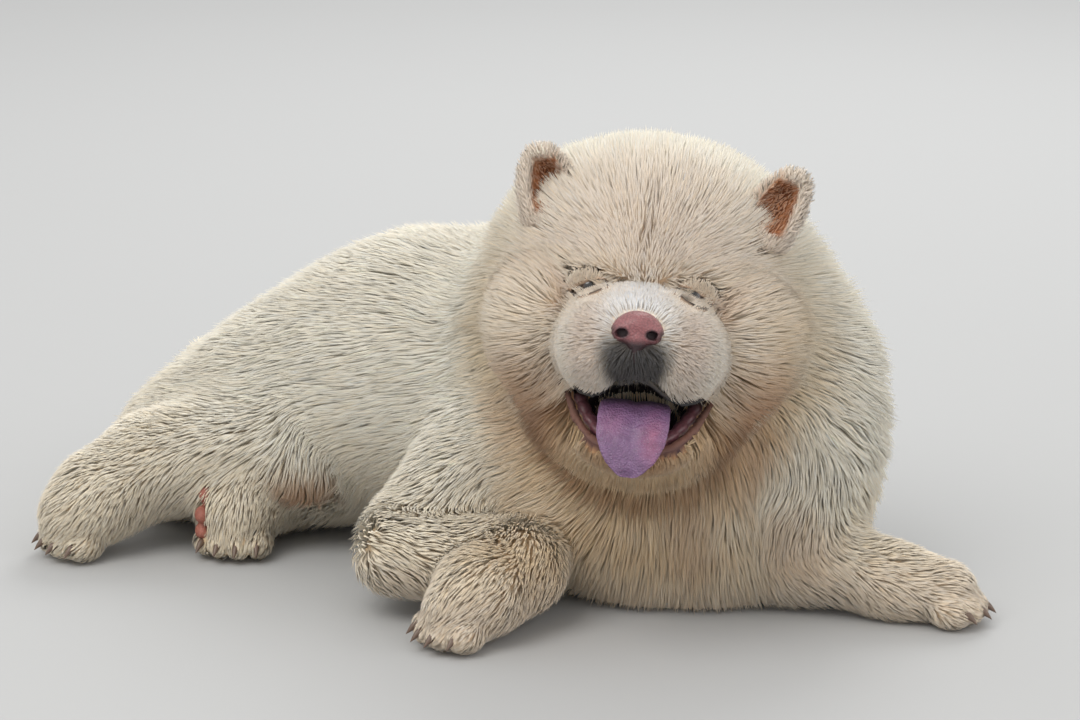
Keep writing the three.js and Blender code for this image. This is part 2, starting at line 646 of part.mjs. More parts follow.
const TOES = {
  forepaw_right: { wrist: [-122, -48, 30], tip: [-141, -63, 20], spread: 13, length: 26, radius: 13.5 },
  forepaw_left: { wrist: [196, 8, 30], tip: [238, -6, 18], spread: 12.5, length: 24, radius: 13 },
  hindpaw_right: { wrist: [-436, 172, 30], tip: [-452, 160, 18], spread: 13.5, length: 22, radius: 13.5 },
  hindpaw_left: { wrist: [-318, 180, 30], tip: [-323, 158, 18], spread: 13, length: 20, radius: 13.5 },
};
function leg(name, grow) {
  const parts = [stretch(LEGS[name], grow)];
  if (TOES[name]) {
    const { wrist, tip, ...shape } = TOES[name];
    parts.push(...toes(wrist, tip, { ...shape, grow }));
  }
  return joined(parts);
}
// The plume: locks that leave the tail's line to both sides and over its top
function plume(seed, from, to) {
  const random = seeded(seed);
  const locks = [];
  for (let i = from; i < to; i++)
    [-1, 0, 1, 2].forEach((place, k) => {
      const [here, half] = TAIL[i];
      const along = unit(sub(TAIL[Math.min(i + 1, TAIL.length - 1)][0], TAIL[Math.max(i - 1, 0)][0]));
      const outward = unit(cross(along, [0, 0, 1]));
      const turn = radians(10 + 52 * place + 14 * (random() - 0.5) + (i % 2) * 26);
      const spread = add(times(outward, Math.cos(turn)), [0, 0, 1], Math.sin(turn));
      const side = unit(cross(spread, along));
      const centreAt = (ahead, out) => {
        const p = add(add(here, along, ahead), spread, out);
        return [p[0], p[1], Math.max(p[2], FLOOR_CLEAR)];
      };
      const rings = [[0, 0.55], [24, 0.98], [50, 1.06]].map(([ahead, out], ring) => ({
        centre: centreAt(ahead + k, half * out), side, normal: spread, width: 20 * LOCK_TAPER[ring], thin: 4.5 * LOCK_THINNING[ring],
      }));
      locks.push({ rings, tip: centreAt(72 + 10 * random(), half * 1.12) });
    });
  return locks;
}
const PLUME_BASE = plume(31, 1, 3);
const PLUME_TIP = plume(37, 4, 6);
function tail(from, to, grow) {
  const core = TAIL.slice(from, to).map(([place, half, thin]) => [place, half * 0.86, thin * 0.86]);
  return withLocks(ovalTube(core, 12, [0, 0, 1], grow), from ? PLUME_TIP : PLUME_BASE, grow);
}

const COLOURS = {
  coat: [0xe9dfcf, 0.85],
  face: [0xe3d2bf, 0.8],
  nose: [0x8a5a5c, 0.45],
  tongue: [0x8f76a6, 0.4],
  eye: [0x1c1210, 0.15],
  ear: [0xd9b493, 0.8],
};
// The nodes in the order in which each keeps its shape: a later one is cut clear of those before it
const NODES = [
  ["eye_left", "eye", (g) => eye(1, g)],
  ["eye_right", "eye", (g) => eye(-1, g)],
  ["tongue", "tongue", tongue],
  ["nose", "nose", nose],
  ["ear_left", "ear", (g) => ear(1, g)],
  ["ear_right", "ear", (g) => ear(-1, g)],
  ["head", "face", head],
  ["lower_jaw", "face", jaw],
  ["forepaw_right", "coat", (g) => leg("forepaw_right", g)],
  ["forepaw_left", "coat", (g) => leg("forepaw_left", g)],
  ["hindpaw_left", "coat", (g) => leg("hindpaw_left", g)],
  ["hindpaw_right", "coat", (g) => leg("hindpaw_right", g)],
  ["foreleg_right_lower", "coat", (g) => leg("foreleg_right_lower", g)],
  ["foreleg_left_lower", "coat", (g) => leg("foreleg_left_lower", g)],
  ["hindleg_right_shank", "coat", (g) => leg("hindleg_right_shank", g)],
  ["hindleg_left_shank", "coat", (g) => leg("hindleg_left_shank", g)],
  ["foreleg_right_upper", "coat", (g) => leg("foreleg_right_upper", g)],
  ["foreleg_left_upper", "coat", (g) => leg("foreleg_left_upper", g)],
  ["hindleg_right_thigh", "coat", (g) => leg("hindleg_right_thigh", g)],
  ["mane", "coat", mane],
  ["torso", "coat", torso],
  ["tail_base", "coat", (g) => tail(0, 4, g)],
  ["tail_tip", "coat", (g) => tail(3, 7, g)],
];

const dog = new THREE.Group();
const before = [];
for (const [name, finish, make] of NODES) {
  const own = make(0);
  const clear = wasm.Manifold.difference([own, ...before, ...dog.children.map((mesh) => mesh.userData.solid)]);
  const kept = tidied(clear.intersect(aboveFloor));
  if (!closesCleanly(kept)) console.log(name, "does not close cleanly");
  before.push(make(GAP));
  const [color, roughness] = COLOURS[finish];
  const mesh = new THREE.Mesh(
    geometryOf(kept).scale(scale, scale, scale),
    new THREE.MeshStandardMaterial({ color, roughness, metalness: 0 }),
  );
  mesh.name = name;
  mesh.userData.solid = kept;
  dog.add(mesh);
}
// The part's origin is on the floor, under the middle of its box
const box = new THREE.Box3().setFromObject(dog);
const middle = box.getCenter(new THREE.Vector3());
dog.position.set(-middle.x, -middle.y, 0);
const root = new THREE.Group();
root.add(dog);

export default root;
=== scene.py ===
"""A life-size chow chow lying down: its skin, coat, face, eyes, nose, tongue, ears, pads and claws."""
import itertools
import json
import math

import bpy
import numpy as np
from mathutils import Matrix, Vector, kdtree

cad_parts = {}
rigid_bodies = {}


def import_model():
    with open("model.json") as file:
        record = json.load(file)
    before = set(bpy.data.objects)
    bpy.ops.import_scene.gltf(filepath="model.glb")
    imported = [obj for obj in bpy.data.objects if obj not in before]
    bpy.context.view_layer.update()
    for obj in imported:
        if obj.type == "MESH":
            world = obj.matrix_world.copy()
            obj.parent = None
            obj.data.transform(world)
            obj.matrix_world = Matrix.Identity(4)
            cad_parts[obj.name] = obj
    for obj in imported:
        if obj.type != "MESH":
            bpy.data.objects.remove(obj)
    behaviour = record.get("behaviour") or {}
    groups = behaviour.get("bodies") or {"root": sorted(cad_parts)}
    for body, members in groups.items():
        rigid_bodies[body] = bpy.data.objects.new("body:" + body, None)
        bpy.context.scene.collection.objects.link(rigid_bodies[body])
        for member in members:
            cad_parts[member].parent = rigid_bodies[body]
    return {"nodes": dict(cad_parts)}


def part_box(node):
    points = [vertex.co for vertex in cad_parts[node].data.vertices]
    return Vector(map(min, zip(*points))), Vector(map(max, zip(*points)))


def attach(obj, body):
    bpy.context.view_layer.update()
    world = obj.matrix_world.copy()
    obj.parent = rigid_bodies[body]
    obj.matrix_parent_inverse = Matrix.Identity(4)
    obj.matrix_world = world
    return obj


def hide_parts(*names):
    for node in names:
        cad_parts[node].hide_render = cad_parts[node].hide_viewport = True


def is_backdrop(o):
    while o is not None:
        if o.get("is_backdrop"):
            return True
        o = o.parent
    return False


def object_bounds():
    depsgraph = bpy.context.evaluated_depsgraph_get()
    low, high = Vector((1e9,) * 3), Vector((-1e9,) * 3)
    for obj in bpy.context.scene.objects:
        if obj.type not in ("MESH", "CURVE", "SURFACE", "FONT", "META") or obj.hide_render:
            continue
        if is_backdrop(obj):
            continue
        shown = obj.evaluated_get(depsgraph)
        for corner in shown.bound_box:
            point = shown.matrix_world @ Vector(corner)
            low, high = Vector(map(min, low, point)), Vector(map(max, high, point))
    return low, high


bl_info = {
    "name": "Lying Chow Chow",
    "version": (1, 0, 0),
    "blender": (4, 5, 0),
    "location": "View3D > Sidebar > Chow Chow",
    "description": "Builds a lying chow chow: skin, coat, face, eyes, nose, tongue, ears, pads and claws",
    "category": "Add Mesh",
}

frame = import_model()
CAD_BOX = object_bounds()

# Places are in millimetres on the dog's own grid, with the floor at height 0
EYES_MIDDLE = np.array([-1.0, -40.0, 271.0])
EYE_PLACE = (-10.0, 39.0, -1.0)
MOUTH_ASIDE = 5.0
HEAD_YAW, HEAD_LIFT, HEAD_LEAN = 3, 12, 5
SIDES = {"left": 1, "right": -1}


def turned_axes(yaw, lift, lean):
    """Forward, left and up of a head that is turned, lifted and leant by degrees."""
    yaw, lift, lean = (math.radians(a) for a in (yaw, lift, lean))
    forward = np.array([-math.sin(yaw) * math.cos(lift), -math.cos(yaw) * math.cos(lift), math.sin(lift)])
    level = np.array([math.cos(yaw), -math.sin(yaw), 0.0])
    upright = np.cross(forward, level)
    left = level * math.cos(lean) - upright * math.sin(lean)
    up = level * math.sin(lean) + upright * math.cos(lean)
    return np.array([forward, left, up])


HEAD = turned_axes(HEAD_YAW, HEAD_LIFT, HEAD_LEAN)


def on_head(f, l, u):
    """A place given forward, left and up of the middle of the eyes."""
    return EYES_MIDDLE + f * HEAD[0] + l * HEAD[1] + u * HEAD[2]


def head_frame(p):
    return (p - EYES_MIDDLE) @ HEAD.T


def unit(v):
    v = np.asarray(v, float)
    return v / np.maximum(np.linalg.norm(v, axis=-1, keepdims=True), 1e-9)


def axes_along(direction):
    first = unit(direction)
    second = unit(np.cross((0, 0, 1), first))
    return np.array([first, second, np.cross(first, second)])


def smooth(x):
    x = np.clip(x, 0, 1)
    return x * x * (3 - 2 * x)


LEVEL = np.eye(3)
ALONG_TRUNK = axes_along((-0.8, 0.6, 0))
ALONG_CROUP = axes_along((-0.77, 0.25, -0.58))
ALONG_RUMP = axes_along((-0.85, 0.2, -0.45))

EYE_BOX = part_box("eye_left")
SHIFT = np.array((EYE_BOX[0] + EYE_BOX[1]) / 2) * 1000 - on_head(*EYE_PLACE)


def to_scene(p):
    """Millimetres on the dog's grid as metres on the CAD model's."""
    return (np.asarray(p) + SHIFT) / 1000


def from_scene(p):
    return np.asarray(p) * 1000 - SHIFT


class Ball:
    """An egg-shaped lump of the body, with its radii out to the tips of its coat, and the coat's depth."""

    def __init__(self, centre, radii, coat, axes=LEVEL):
        self.centre, self.radii = np.array(centre, float), np.array(radii, float)
        self.coat, self.axes = coat, axes

    def distance(self, p, bare):
        q = (p - self.centre) @ self.axes.T
        r = self.radii - bare * self.coat
        k = np.sqrt(((q / r) ** 2).sum(-1))
        g = np.sqrt(((q / (r * r)) ** 2).sum(-1))
        return k * (k - 1) / np.maximum(g, 1e-9)

    def lumps(self, bare):
        yield self.centre, self.radii - bare * self.coat, self.axes


class Limb:
    """A round stretch of the body between two places."""

    def __init__(self, start, end, radius, radius_end, coat, coat_end):
        self.start, self.end = np.array(start, float), np.array(end, float)
        self.radius, self.radius_end, self.coat, self.coat_end = radius, radius_end, coat, coat_end

    def size(self, t, bare):
        return (self.radius - bare * self.coat) * (1 - t) + (self.radius_end - bare * self.coat_end) * t

    def distance(self, p, bare):
        along = self.end - self.start
        t = np.clip(((p - self.start) @ along) / (along @ along), 0, 1)
        return np.linalg.norm(p - self.start - t[..., None] * along, axis=-1) - self.size(t, bare)

    def lumps(self, bare):
        count = 2 + int(np.linalg.norm(self.end - self.start) / 20)
        for t in np.linspace(0, 1, count):
            yield self.start + (self.end - self.start) * t, np.full(3, self.size(t, bare)), LEVEL


def head_ball(f, l, u, radii, coat):
    return Ball(on_head(f, l, u), radii, coat, HEAD)


def blended(a, b, width):
    h = np.clip(0.5 + 0.5 * (b - a) / width, 0, 1)
    return b * (1 - h) + a * h - width * h * (1 - h)


def carved(a, hole, width):
    return -blended(-a, hole, width)


TORSO = [
    Ball((36, 122, 132), (116, 114, 138), 42, ALONG_TRUNK),
    Ball((-50, 150, 144), (146, 128, 138), 36, ALONG_TRUNK),
    Ball((-160, 222, 136), (136, 116, 122), 34, ALONG_TRUNK),
    Ball((-262, 278, 102), (120, 106, 94), 34, ALONG_CROUP),
    Ball((-350, 292, 62), (92, 94, 70), 36, ALONG_RUMP),
    Ball((108, 90, 118), (88, 104, 118), 42),
    Ball((-50, 76, 120), (74, 84, 104), 32),
]
MANE = [
    Ball((16, 98, 214), (140, 112, 134), 50),
    Ball((38, 76, 166), (148, 100, 112), 48),
    Ball((38, 64, 96), (126, 80, 120), 40),
    head_ball(-112, 0, -8, (92, 124, 104), 38),
]
SKULL = [
    head_ball(-74, 0, 38, (88, 108, 76), 22),
    head_ball(-14, 0, 16, (30, 62, 26), 10),
    head_ball(-30, 66, -36, (48, 52, 60), 20),
    head_ball(-30, -66, -36, (48, 52, 60), 20),
    head_ball(26, 1, -30, (52, 48, 31), 5),
    head_ball(48, 1, -40, (27, 22, 22), 4),
    head_ball(34, 37, -47, (36, 30, 33), 5),
    head_ball(34, -27, -47, (36, 30, 33), 5),
    head_ball(-45, 0, -84, (58, 82, 56), 22),
]
JAW = [
    head_ball(26, MOUTH_ASIDE, -110, (32, 46, 27), 7),
    head_ball(-10, MOUTH_ASIDE, -96, (52, 54, 34), 11),
    head_ball(-38, MOUTH_ASIDE, -104, (44, 56, 38), 14),
]
MOUTH = Ball(on_head(22, MOUTH_ASIDE, -92), (50, 42, 27), 0, HEAD)
PALATE = Ball(on_head(42, MOUTH_ASIDE - 2, -72), (20, 26, 13), 0, HEAD)
SOCKETS = [head_ball(12, 39 * side, -2, (24, 13.5, 8), 0) for side in (1, -1)]
SLOPE = math.radians(38)
FORELEG_RIGHT = [
    Limb((-88, 90, 120), (-170, 38, 58), 74, 45, 26, 16),
    Limb((-188, 14, 50), (-92, -14, 48), 37, 33, 14, 10),
    Limb((-92, -14, 46), (-122, -48, 38), 36, 33, 9, 8),
    Limb((-122, -48, 36), (-140, -62, 26), 32, 27, 7, 7),
]
FORELEG_LEFT = [
    Limb((110, 80, 108), (124, 38, 50), 60, 44, 24, 16),
    Limb((124, 36, 42), (196, 8, 29), 40, 29, 12, 8),
    Limb((196, 8, 27), (234, -4, 24), 28, 26, 8, 7),
]
HINDLEG_RIGHT = [
    Limb((-286, 262, 98), (-258, 212, 84), 78, 70, 26, 26),
    Limb((-266, 212, 84), (-392, 196, 68), 64, 44, 22, 16),
    Limb((-392, 196, 64), (-434, 172, 46), 41, 37, 12, 10),
    Limb((-434, 172, 46), (-452, 160, 34), 37, 31, 9, 9),
]
HINDLEG_LEFT = [
    Limb((-214, 246, 56), (-288, 226, 47), 54, 42, 14, 12),
    Limb((-288, 226, 45), (-318, 178, 42), 38, 34, 12, 9),
    Limb((-318, 178, 40), (-322, 164, 32), 34, 31, 7, 7),
]
LIMBS = FORELEG_RIGHT + FORELEG_LEFT + HINDLEG_RIGHT + HINDLEG_LEFT
PAWS = {
    "forepaw_right": ((-122, -48), (-141, -63), 13.0, 26, 13.5),
    "forepaw_left": ((196, 8), (238, -6), 12.5, 24, 13.0),
    "hindpaw_right": ((-436, 172), (-452, 160), 13.5, 22, 13.5),
    "hindpaw_left": ((-318, 180), (-323, 158), 13.0, 20, 13.5),
}
TAIL_LINE = [
    ((-352, 336, 92), 24),
    ((-356, 376, 96), 30),
    ((-330, 408, 74), 38),
    ((-286, 420, 60), 44),
    ((-236, 408, 58), 44),
    ((-204, 384, 62), 36),
    ((-190, 364, 66), 20),
]
TAIL = [Limb(a, b, ra, rb, 0.55 * ra, 0.55 * rb) for (a, ra), (b, rb) in zip(TAIL_LINE, TAIL_LINE[1:])]


def toe_places(paw):
    """Centre, axes and radius of each of a paw's four toes."""
    (wx, wy), (tx, ty), spread, length, radius = PAWS[paw]
    forward = unit((tx - wx, ty - wy, 0))
    across = unit(np.cross(forward, (0, 0, 1)))
    for place in (-1.5, -0.5, 0.5, 1.5):
        ahead = length * (0.12 if abs(place) > 1 else 0.42)
        way = unit(forward + across * place * 0.16)
        centre = np.array([tx, ty, 0]) + across * place * spread + forward * ahead
        centre[2] = radius + 1
        yield centre, np.array([way, unit(np.cross((0, 0, 1), way)), (0, 0, 1)]), radius


TOES = [
    Ball(centre, (r * 1.45, r, r * 1.05), 3.5, axes) for paw in PAWS for centre, axes, r in toe_places(paw)
]

# The woolly undercoat is part of the skin's piece on the trunk: this share of the coat's depth is over it
TRUNK_BARE = 0.55

# Lines on the face, forward, left and up, and how the skin bends along them: rise and width
UPPER_LIP = [
    (-6, 60, -64), (16, 54, -70), (36, 42, -77), (47, 30, -79), (58, 16, -70), (63, 5, -62), (64, 0, -61)]
LOWER_LIP = [
    (-6, 55, -76), (8, 50, -87), (20, 45, -96), (31, 38, -104), (41, 28, -111.5), (47, 14, -116),
    (48.5, 0, -117)]
FOLDS = [
    ([(18, 9), (28, 14), (40, 14), (52, 9), (61, -2), (66, -14)], 3.6, 7.0),
    ([(24, 5), (33, 7.5), (43, 6), (52, 0), (58, -9)], -1.6, 2.6),
    ([(57, -9), (63, -21), (66, -36), (66, -50), (61, -64)], -2.8, 5.0),
    ([(48, -16), (55, -26), (57, -40)], -1.2, 3.5),
    ([(72, -6), (79, -24), (80, -46), (74, -66)], 2.5, 8.0),
]
FURROW = ([(2, 76), (1, 52), (-2, 26)], -1.7, 2.6)


def line_distance(points, line):
    """How far points are from a line of straight stretches, in as many dimensions as the line has."""
    line = np.array(line, float)
    best = None
    for a, b in zip(line, line[1:]):
        along = b - a
        t = np.clip(((points - a) @ along) / (along @ along), 0, 1)
        d = np.linalg.norm(points - a - t[:, None] * along, axis=-1)
        best = d if best is None else np.minimum(best, d)
    return best


def lip_lines():
    """The whole upper and the whole lower lip, from the right corner of the mouth to the left one."""
    for line in (UPPER_LIP, LOWER_LIP):
        right = [(f, MOUTH_ASIDE - l, u) for f, l, u in line]
        left = [(f, MOUTH_ASIDE + l, u) for f, l, u in line]
        yield right + left[::-1][1:]


def face_relief(q):
    """How far the skin rises, in mm, at places given forward, left and up of the eyes."""
    front = smooth((q[:, 0] + 46) / 24)
    sided = np.stack([np.abs(q[:, 1]), q[:, 2]], -1)
    rise = np.zeros(len(q))
    for line, height, width in FOLDS:
        rise += height * np.exp(-((line_distance(sided, line) / width) ** 2))
    line, height, width = FURROW
    rise += height * np.exp(-((line_distance(q[:, 1:], line) / width) ** 2))
    return rise * front


def joined_distance(masses, p, bare, width, found=None):
    for mass in masses:
        d = mass.distance(p, bare)
        found = d if found is None else blended(found, d, width)
    return found


def skull_distance(p, bare):
    """Distance from the head with its folds; the coat is short round the eyes, so the skin is high there."""
    q = head_frame(p)
    sided = q * (0.3, 1, 1)
    sided[:, 1] = np.abs(sided[:, 1])
    near = 0.8 * patch(sided, (0, 40, 2), (30, 30, 22), 0.45)
    full = joined_distance(SKULL, p, bare, 24)
    return full + (joined_distance(SKULL, p, 0, 24) - full) * near - face_relief(q) * (0.4 + 0.6 * bare)


def above_slope(q):
    """How far places lie above the slope that the mouth's floor makes, in mm."""
    return (q[:, 0] - 25) * math.sin(SLOPE) + (q[:, 2] + 99) * math.cos(SLOPE)


def head_distance(p, bare):
    """Distance from the head with its mouth and lips, and the skin's sockets."""
    q = head_frame(p)
    skull = skull_distance(p, bare)
    above = above_slope(q)
    _, lower = lip_lines()
    jaw = joined_distance(JAW, p, bare, 20)
    if bare > 0:
        by_lip = 0.75 * smooth(1.35 - line_distance(q, lower) / 13)
        jaw = jaw + (joined_distance(JAW, p, 0, 20) - jaw) * by_lip
    jaw = carved(jaw, -above, 4)
    d = carved(blended(skull, jaw, 7), MOUTH.distance(p, 0), 3)
    d = carved(d, PALATE.distance(p, 0), 3)
    for line, radius in zip(lip_lines(), (1.6, 2.6)):
        d = blended(d, line_distance(q, line) - radius, 5)
    for socket in SOCKETS if bare > 0.5 else ():
        d = carved(d, socket.distance(p, 0), 3)
    return d


def body_distance(p, bare):
    """How far points lie outside the body's skin (bare 1) or the tips of its coat (bare 0), in mm."""
    d = joined_distance(TORSO, p, bare * TRUNK_BARE, 44)
    d = joined_distance(MANE, p, bare * TRUNK_BARE, 40, d)
    d = joined_distance(LIMBS, p, bare * 0.9, 18, d)
    d = joined_distance(TAIL, p, bare * TRUNK_BARE, 14, d)
    return joined_distance(TOES, p, bare * 0.9, 4, d)


def dog_distance(p, bare):
    d = body_distance(p, bare)
    close = np.linalg.norm(p - on_head(-40, 0, -20), axis=-1) < 190
    if close.any():
        d[close] = blended(d[close], head_distance(p[close], bare), neck_blend(p[close]))
    return d


def neck_blend(p):
    """How widely the head runs over into the ruff: more above the jaw than under it."""
    return 20 + 22 * smooth((head_frame(p)[:, 2] + 76) / 50)


def shape_distance(p):
    """Distance from the tips of the coat on the dog's plain shape, without folds, mouth or sockets."""
    d = body_distance(p, 0)
    close = np.linalg.norm(p - on_head(-40, 0, -20), axis=-1) < 190
    if close.any():
        d[close] = blended(d[close], joined_distance(SKULL + JAW, p[close], 0, 24), neck_blend(p[close]))
    return d


def slope_of(surface, p, step=1.0):
    """The distance at each point, and the way in which it grows."""
    here = surface(p)
    way = np.stack([surface(p + step * axis) - here for axis in np.eye(3)], -1)
    return here, unit(way)


def noise(p, lump, seed=0):
    """Smooth seeded noise from -1 to 1, with lumps about that many mm across."""
    q = p / lump
    base = np.floor(q).astype(np.int64)
    f = smooth(q - base)
    total = np.zeros(len(p))
    for corner in itertools.product((0, 1), repeat=3):
        c = base + corner
        h = (c[:, 0] * 73856093) ^ (c[:, 1] * 19349663) ^ (c[:, 2] * 83492791) ^ (seed * 40503 + 977)
        h = ((h ^ (h >> 13)) * 1274126177) & 0xFFFFFFFF
        h = h ^ (h >> 15)
        weight = np.prod(np.where(corner, f, 1 - f), axis=-1)
        total += ((h & 0xFFFF) / 32767.5 - 1) * weight
    return total


# Colours
def linear(colour):
    c = np.array(colour, float) / 255
    return np.where(c < 0.04045, c / 12.92, ((c + 0.055) / 1.055) ** 2.4)


def srgb_default(r, g, b):
    return tuple(float(c) for c in linear((r, g, b)))


def mixed(a, b, share):
    return a + (np.asarray(b) - a) * np.clip(share, 0, 1)[:, None]


def patch(q, centre, radii, soft=0.5):
    """A mask that is 1 in the middle of an egg-shaped patch and fades out at its edge."""
    k = np.linalg.norm((q - np.array(centre, float)) / np.array(radii, float), axis=-1)
    return smooth((1 + soft - k) / (2 * soft))


CHIN = on_head(0, MOUTH_ASIDE, -128)


def coat_colour(p, colours):
    """Linear colour of the coat and the skin under it, at places on the dog."""
    q = head_frame(p)
    _, y, z = p.T
    soft = noise(p, 46, 3) * 0.5 + noise(p, 21, 4) * 0.5
    colour = np.tile(colours["cream"], (len(p), 1))
    low = smooth((150 - z) / 130)
    colour = mixed(colour, colours["sand"], 0.62 * low + 0.14 * soft)
    # the ruff warms towards the chin and the chest; painted shade darkens the coat beside the face, under the
    # cheeks, round the jaw and on the chest
    # partly tan coat, partly painted shade: darkened tan beside the face, where the ruff meets the head
    face_side_tan_and_shade = patch(q, (-48, 84, -40), (60, 34, 62), 0.7) + patch(q, (-48, -80, -40), (60, 34, 62), 0.7)
    colour = mixed(colour, colours["tan"] * (0.86, 0.9, 0.86), (0.55 + 0.3 * soft) * face_side_tan_and_shade)
    chest = patch(p, CHIN + (6, 16, -34), (120, 90, 104), 0.6)
    colour = mixed(colour, colours["tan"], (0.66 + 0.3 * soft) * chest)
    under = patch(q, (0, MOUTH_ASIDE, -116), (84, 92, 46), 0.45)
    colour = mixed(colour, colours["tan"], 0.55 * under)
    # russet coat with painted shade under the cheeks, by the jaw
    for side in (-1, 1):
        cheek_russet_and_shade = patch(q, (-6, MOUTH_ASIDE + side * 74, -92), (60, 28, 40), 0.7)
        colour = mixed(colour, colours["russet"], (0.8 + 0.2 * soft) * cheek_russet_and_shade)
    # painted shadow: a dark umber band round the jaw, where shade falls between jaw and ruff, over its tan
    # coat
    jaw = joined_distance(JAW, p, 0, 20)
    around = smooth(1 - np.abs(jaw - 3) / 17) * smooth((-66 - q[:, 2]) / 20) * smooth((160 + q[:, 2]) / 20)
    colour = mixed(colour, colours["umber"], (0.75 + 0.3 * soft) * around * (jaw > -9))
    # brown coat and painted shade on the chest
    chest_russet_and_shade = patch(p, (40, -40, 92), (22, 60, 40), 0.6) + patch(p, (118, 10, 76), (26, 60, 34), 0.6)
    colour = mixed(colour, colours["russet"], 0.3 * chest_russet_and_shade)
    # the face
    face = smooth((q[:, 0] + 66) / 44) * smooth((q[:, 2] + 130) / 40)
    blush = face * patch(q, (10, 0, 24), (100, 96, 76), 0.75)
    colour = mixed(colour, colours["blush"], 0.62 * blush)
    brows = patch(q, (0, 34, 8), (50, 26, 12), 0.6) + patch(q, (0, -34, 8), (50, 26, 12), 0.6)
    colour = mixed(colour, colours["sand"], 0.3 * brows)
    muzzle = patch(q, (52, MOUTH_ASIDE, -44), (62, 64, 46), 0.3)
    colour = mixed(colour, colours["muzzle"], 0.7 * muzzle)
    muzzle = patch(q, (60, 36, -40), (30, 14, 30), 0.6) + patch(q, (60, -30, -40), (30, 14, 30), 0.6)
    colour = mixed(colour, colours["blush"] * (0.86, 0.84, 0.84), 0.6 * muzzle)
    bridge = patch(q, (50, 0, -16), (60, 22, 24), 0.6)
    colour = mixed(colour, colours["white"], 0.85 * bridge)
    snout = patch(q * (0.3, 1, 1), (20, 1, -47), (14, 21, 21), 0.35)
    colour = mixed(colour, colours["snout"], 0.97 * snout)
    for side in (-1, 1):
        tear = patch(q, (0, 57 * side, -13), (40, 7, 10), 0.8)
        colour = mixed(colour, colours["russet"], 0.35 * tear)
    chin = patch(q, (52, MOUTH_ASIDE, -116), (30, 34, 12), 0.6)
    colour = mixed(colour, colours["russet"], 0.35 * chin)
    # legs, feet and the bare patch on the belly
    feet = smooth((70 - z) / 40) * smooth((-(y - 60)) / 60)
    colour = mixed(colour, colours["blush"], 0.35 * feet)
    belly = patch(p, (-262, 176, 70), (20, 24, 16), 0.7)
    colour = mixed(colour, colours["russet"], 0.8 * belly)
    return np.clip(colour * (1 + 0.05 * noise(p, 9, 5))[:, None], 0, 1)


class ChowSizes(bpy.types.PropertyGroup):
    """Sizes of the dog's pieces."""

    body_voxel: bpy.props.FloatProperty(
        name="Body skin grain", description="Size of the faces of the body's skin", default=0.0075,
        min=0.004, unit="LENGTH")
    head_voxel: bpy.props.FloatProperty(
        name="Head skin grain", description="Size of the faces of the head's skin", default=0.0021,
        min=0.001, unit="LENGTH")
    eye_radius: bpy.props.FloatProperty(
        name="Eye radius", description="Radius of each eyeball", default=0.011, min=0.006, unit="LENGTH")
    coat_amount: bpy.props.FloatProperty(
        name="Coat amount", description="Share of the full number of tufts", default=1.0, min=0.02, max=1.2,
        subtype="FACTOR")
    coat_clump: bpy.props.FloatProperty(
        name="Clumping", description="How far neighbouring tufts lean together at their tips", default=0.15,
        min=0.0, max=1.0, subtype="FACTOR")
    coat_softness: bpy.props.FloatProperty(
        name="Softness", description="Share of a tuft's shading that follows the body under it", default=0.85,
        min=0.0, max=1.0, subtype="FACTOR")


def colour_property(name, description, colour):
    return bpy.props.FloatVectorProperty(
        name=name, description=description, default=srgb_default(*colour), size=3, min=0, max=1,
        subtype="COLOR")


class ChowColours(bpy.types.PropertyGroup):
    """Colours of the dog's coat and bare parts."""

    cream: colour_property("Cream", "Back, crown and ruff", (248, 240, 220))
    sand: colour_property("Sand", "Lower flanks and shaded coat", (240, 218, 182))
    tan: colour_property("Tan", "Chest and lower ruff", (224, 184, 132))
    # russet: warm coat and tear stains, and also painted shade under the cheeks and on the chest
    russet: colour_property("Russet", "Warm shades by the jaw", (176, 116, 70))
    # umber: painted shadow round the jaw, over its tan coat
    umber: colour_property("Umber", "Shaded coat round the jaw", (140, 96, 62))
    blush: colour_property("Blush", "Forehead and feet", (244, 220, 200))
    muzzle: colour_property("Muzzle", "Sides of the muzzle", (232, 222, 206))
    white: colour_property("White", "Bridge of the muzzle", (246, 245, 244))
    snout: colour_property("Snout", "Short hair under the nose", (62, 60, 62))
    ear: colour_property("Ear cup", "Inside of the ears", (168, 104, 62))
    nose: colour_property("Nose", "Bare leather of the nose", (150, 92, 96))
    tongue: colour_property("Tongue", "Top of the tongue", (122, 90, 128))
    lip: colour_property("Lower lip", "Fleshy rim of the lower lip", (138, 96, 80))
    gum: colour_property("Gums", "Lips, gums and palate", (58, 34, 42))
    pad: colour_property("Pads", "Soles of the feet", (176, 112, 96))
    claw: colour_property("Claws", "Claws", (120, 98, 84))
    iris: colour_property("Iris", "Colour of the eyes", (58, 36, 24))
    floor: colour_property("Floor", "The plain floor", (176, 178, 180))


def settings():
    return bpy.context.scene.chow_sizes, bpy.context.scene.chow_colours


def palette():
    colours = bpy.context.scene.chow_colours
    return {name: np.array(getattr(colours, name)) for name in ChowColours.__annotations__}


# Materials
class Wire:
    """An output socket that can be used in sums; each sum adds its Math node."""

    def __init__(self, finish, socket):
        self.finish, self.socket = finish, socket

    def math(self, operation, *others):
        return self.finish.node("ShaderNodeMath", {"operation": operation}, [self, *others])

    def __add__(self, other):
        return self.math("ADD", other)

    def __sub__(self, other):
        return self.math("SUBTRACT", other)

    def __rsub__(self, other):
        return self.finish.node("ShaderNodeMath", {"operation": "SUBTRACT"}, [other, self])

    def __mul__(self, other):
        return self.math("MULTIPLY", other)

    __radd__ = __add__
    __rmul__ = __mul__


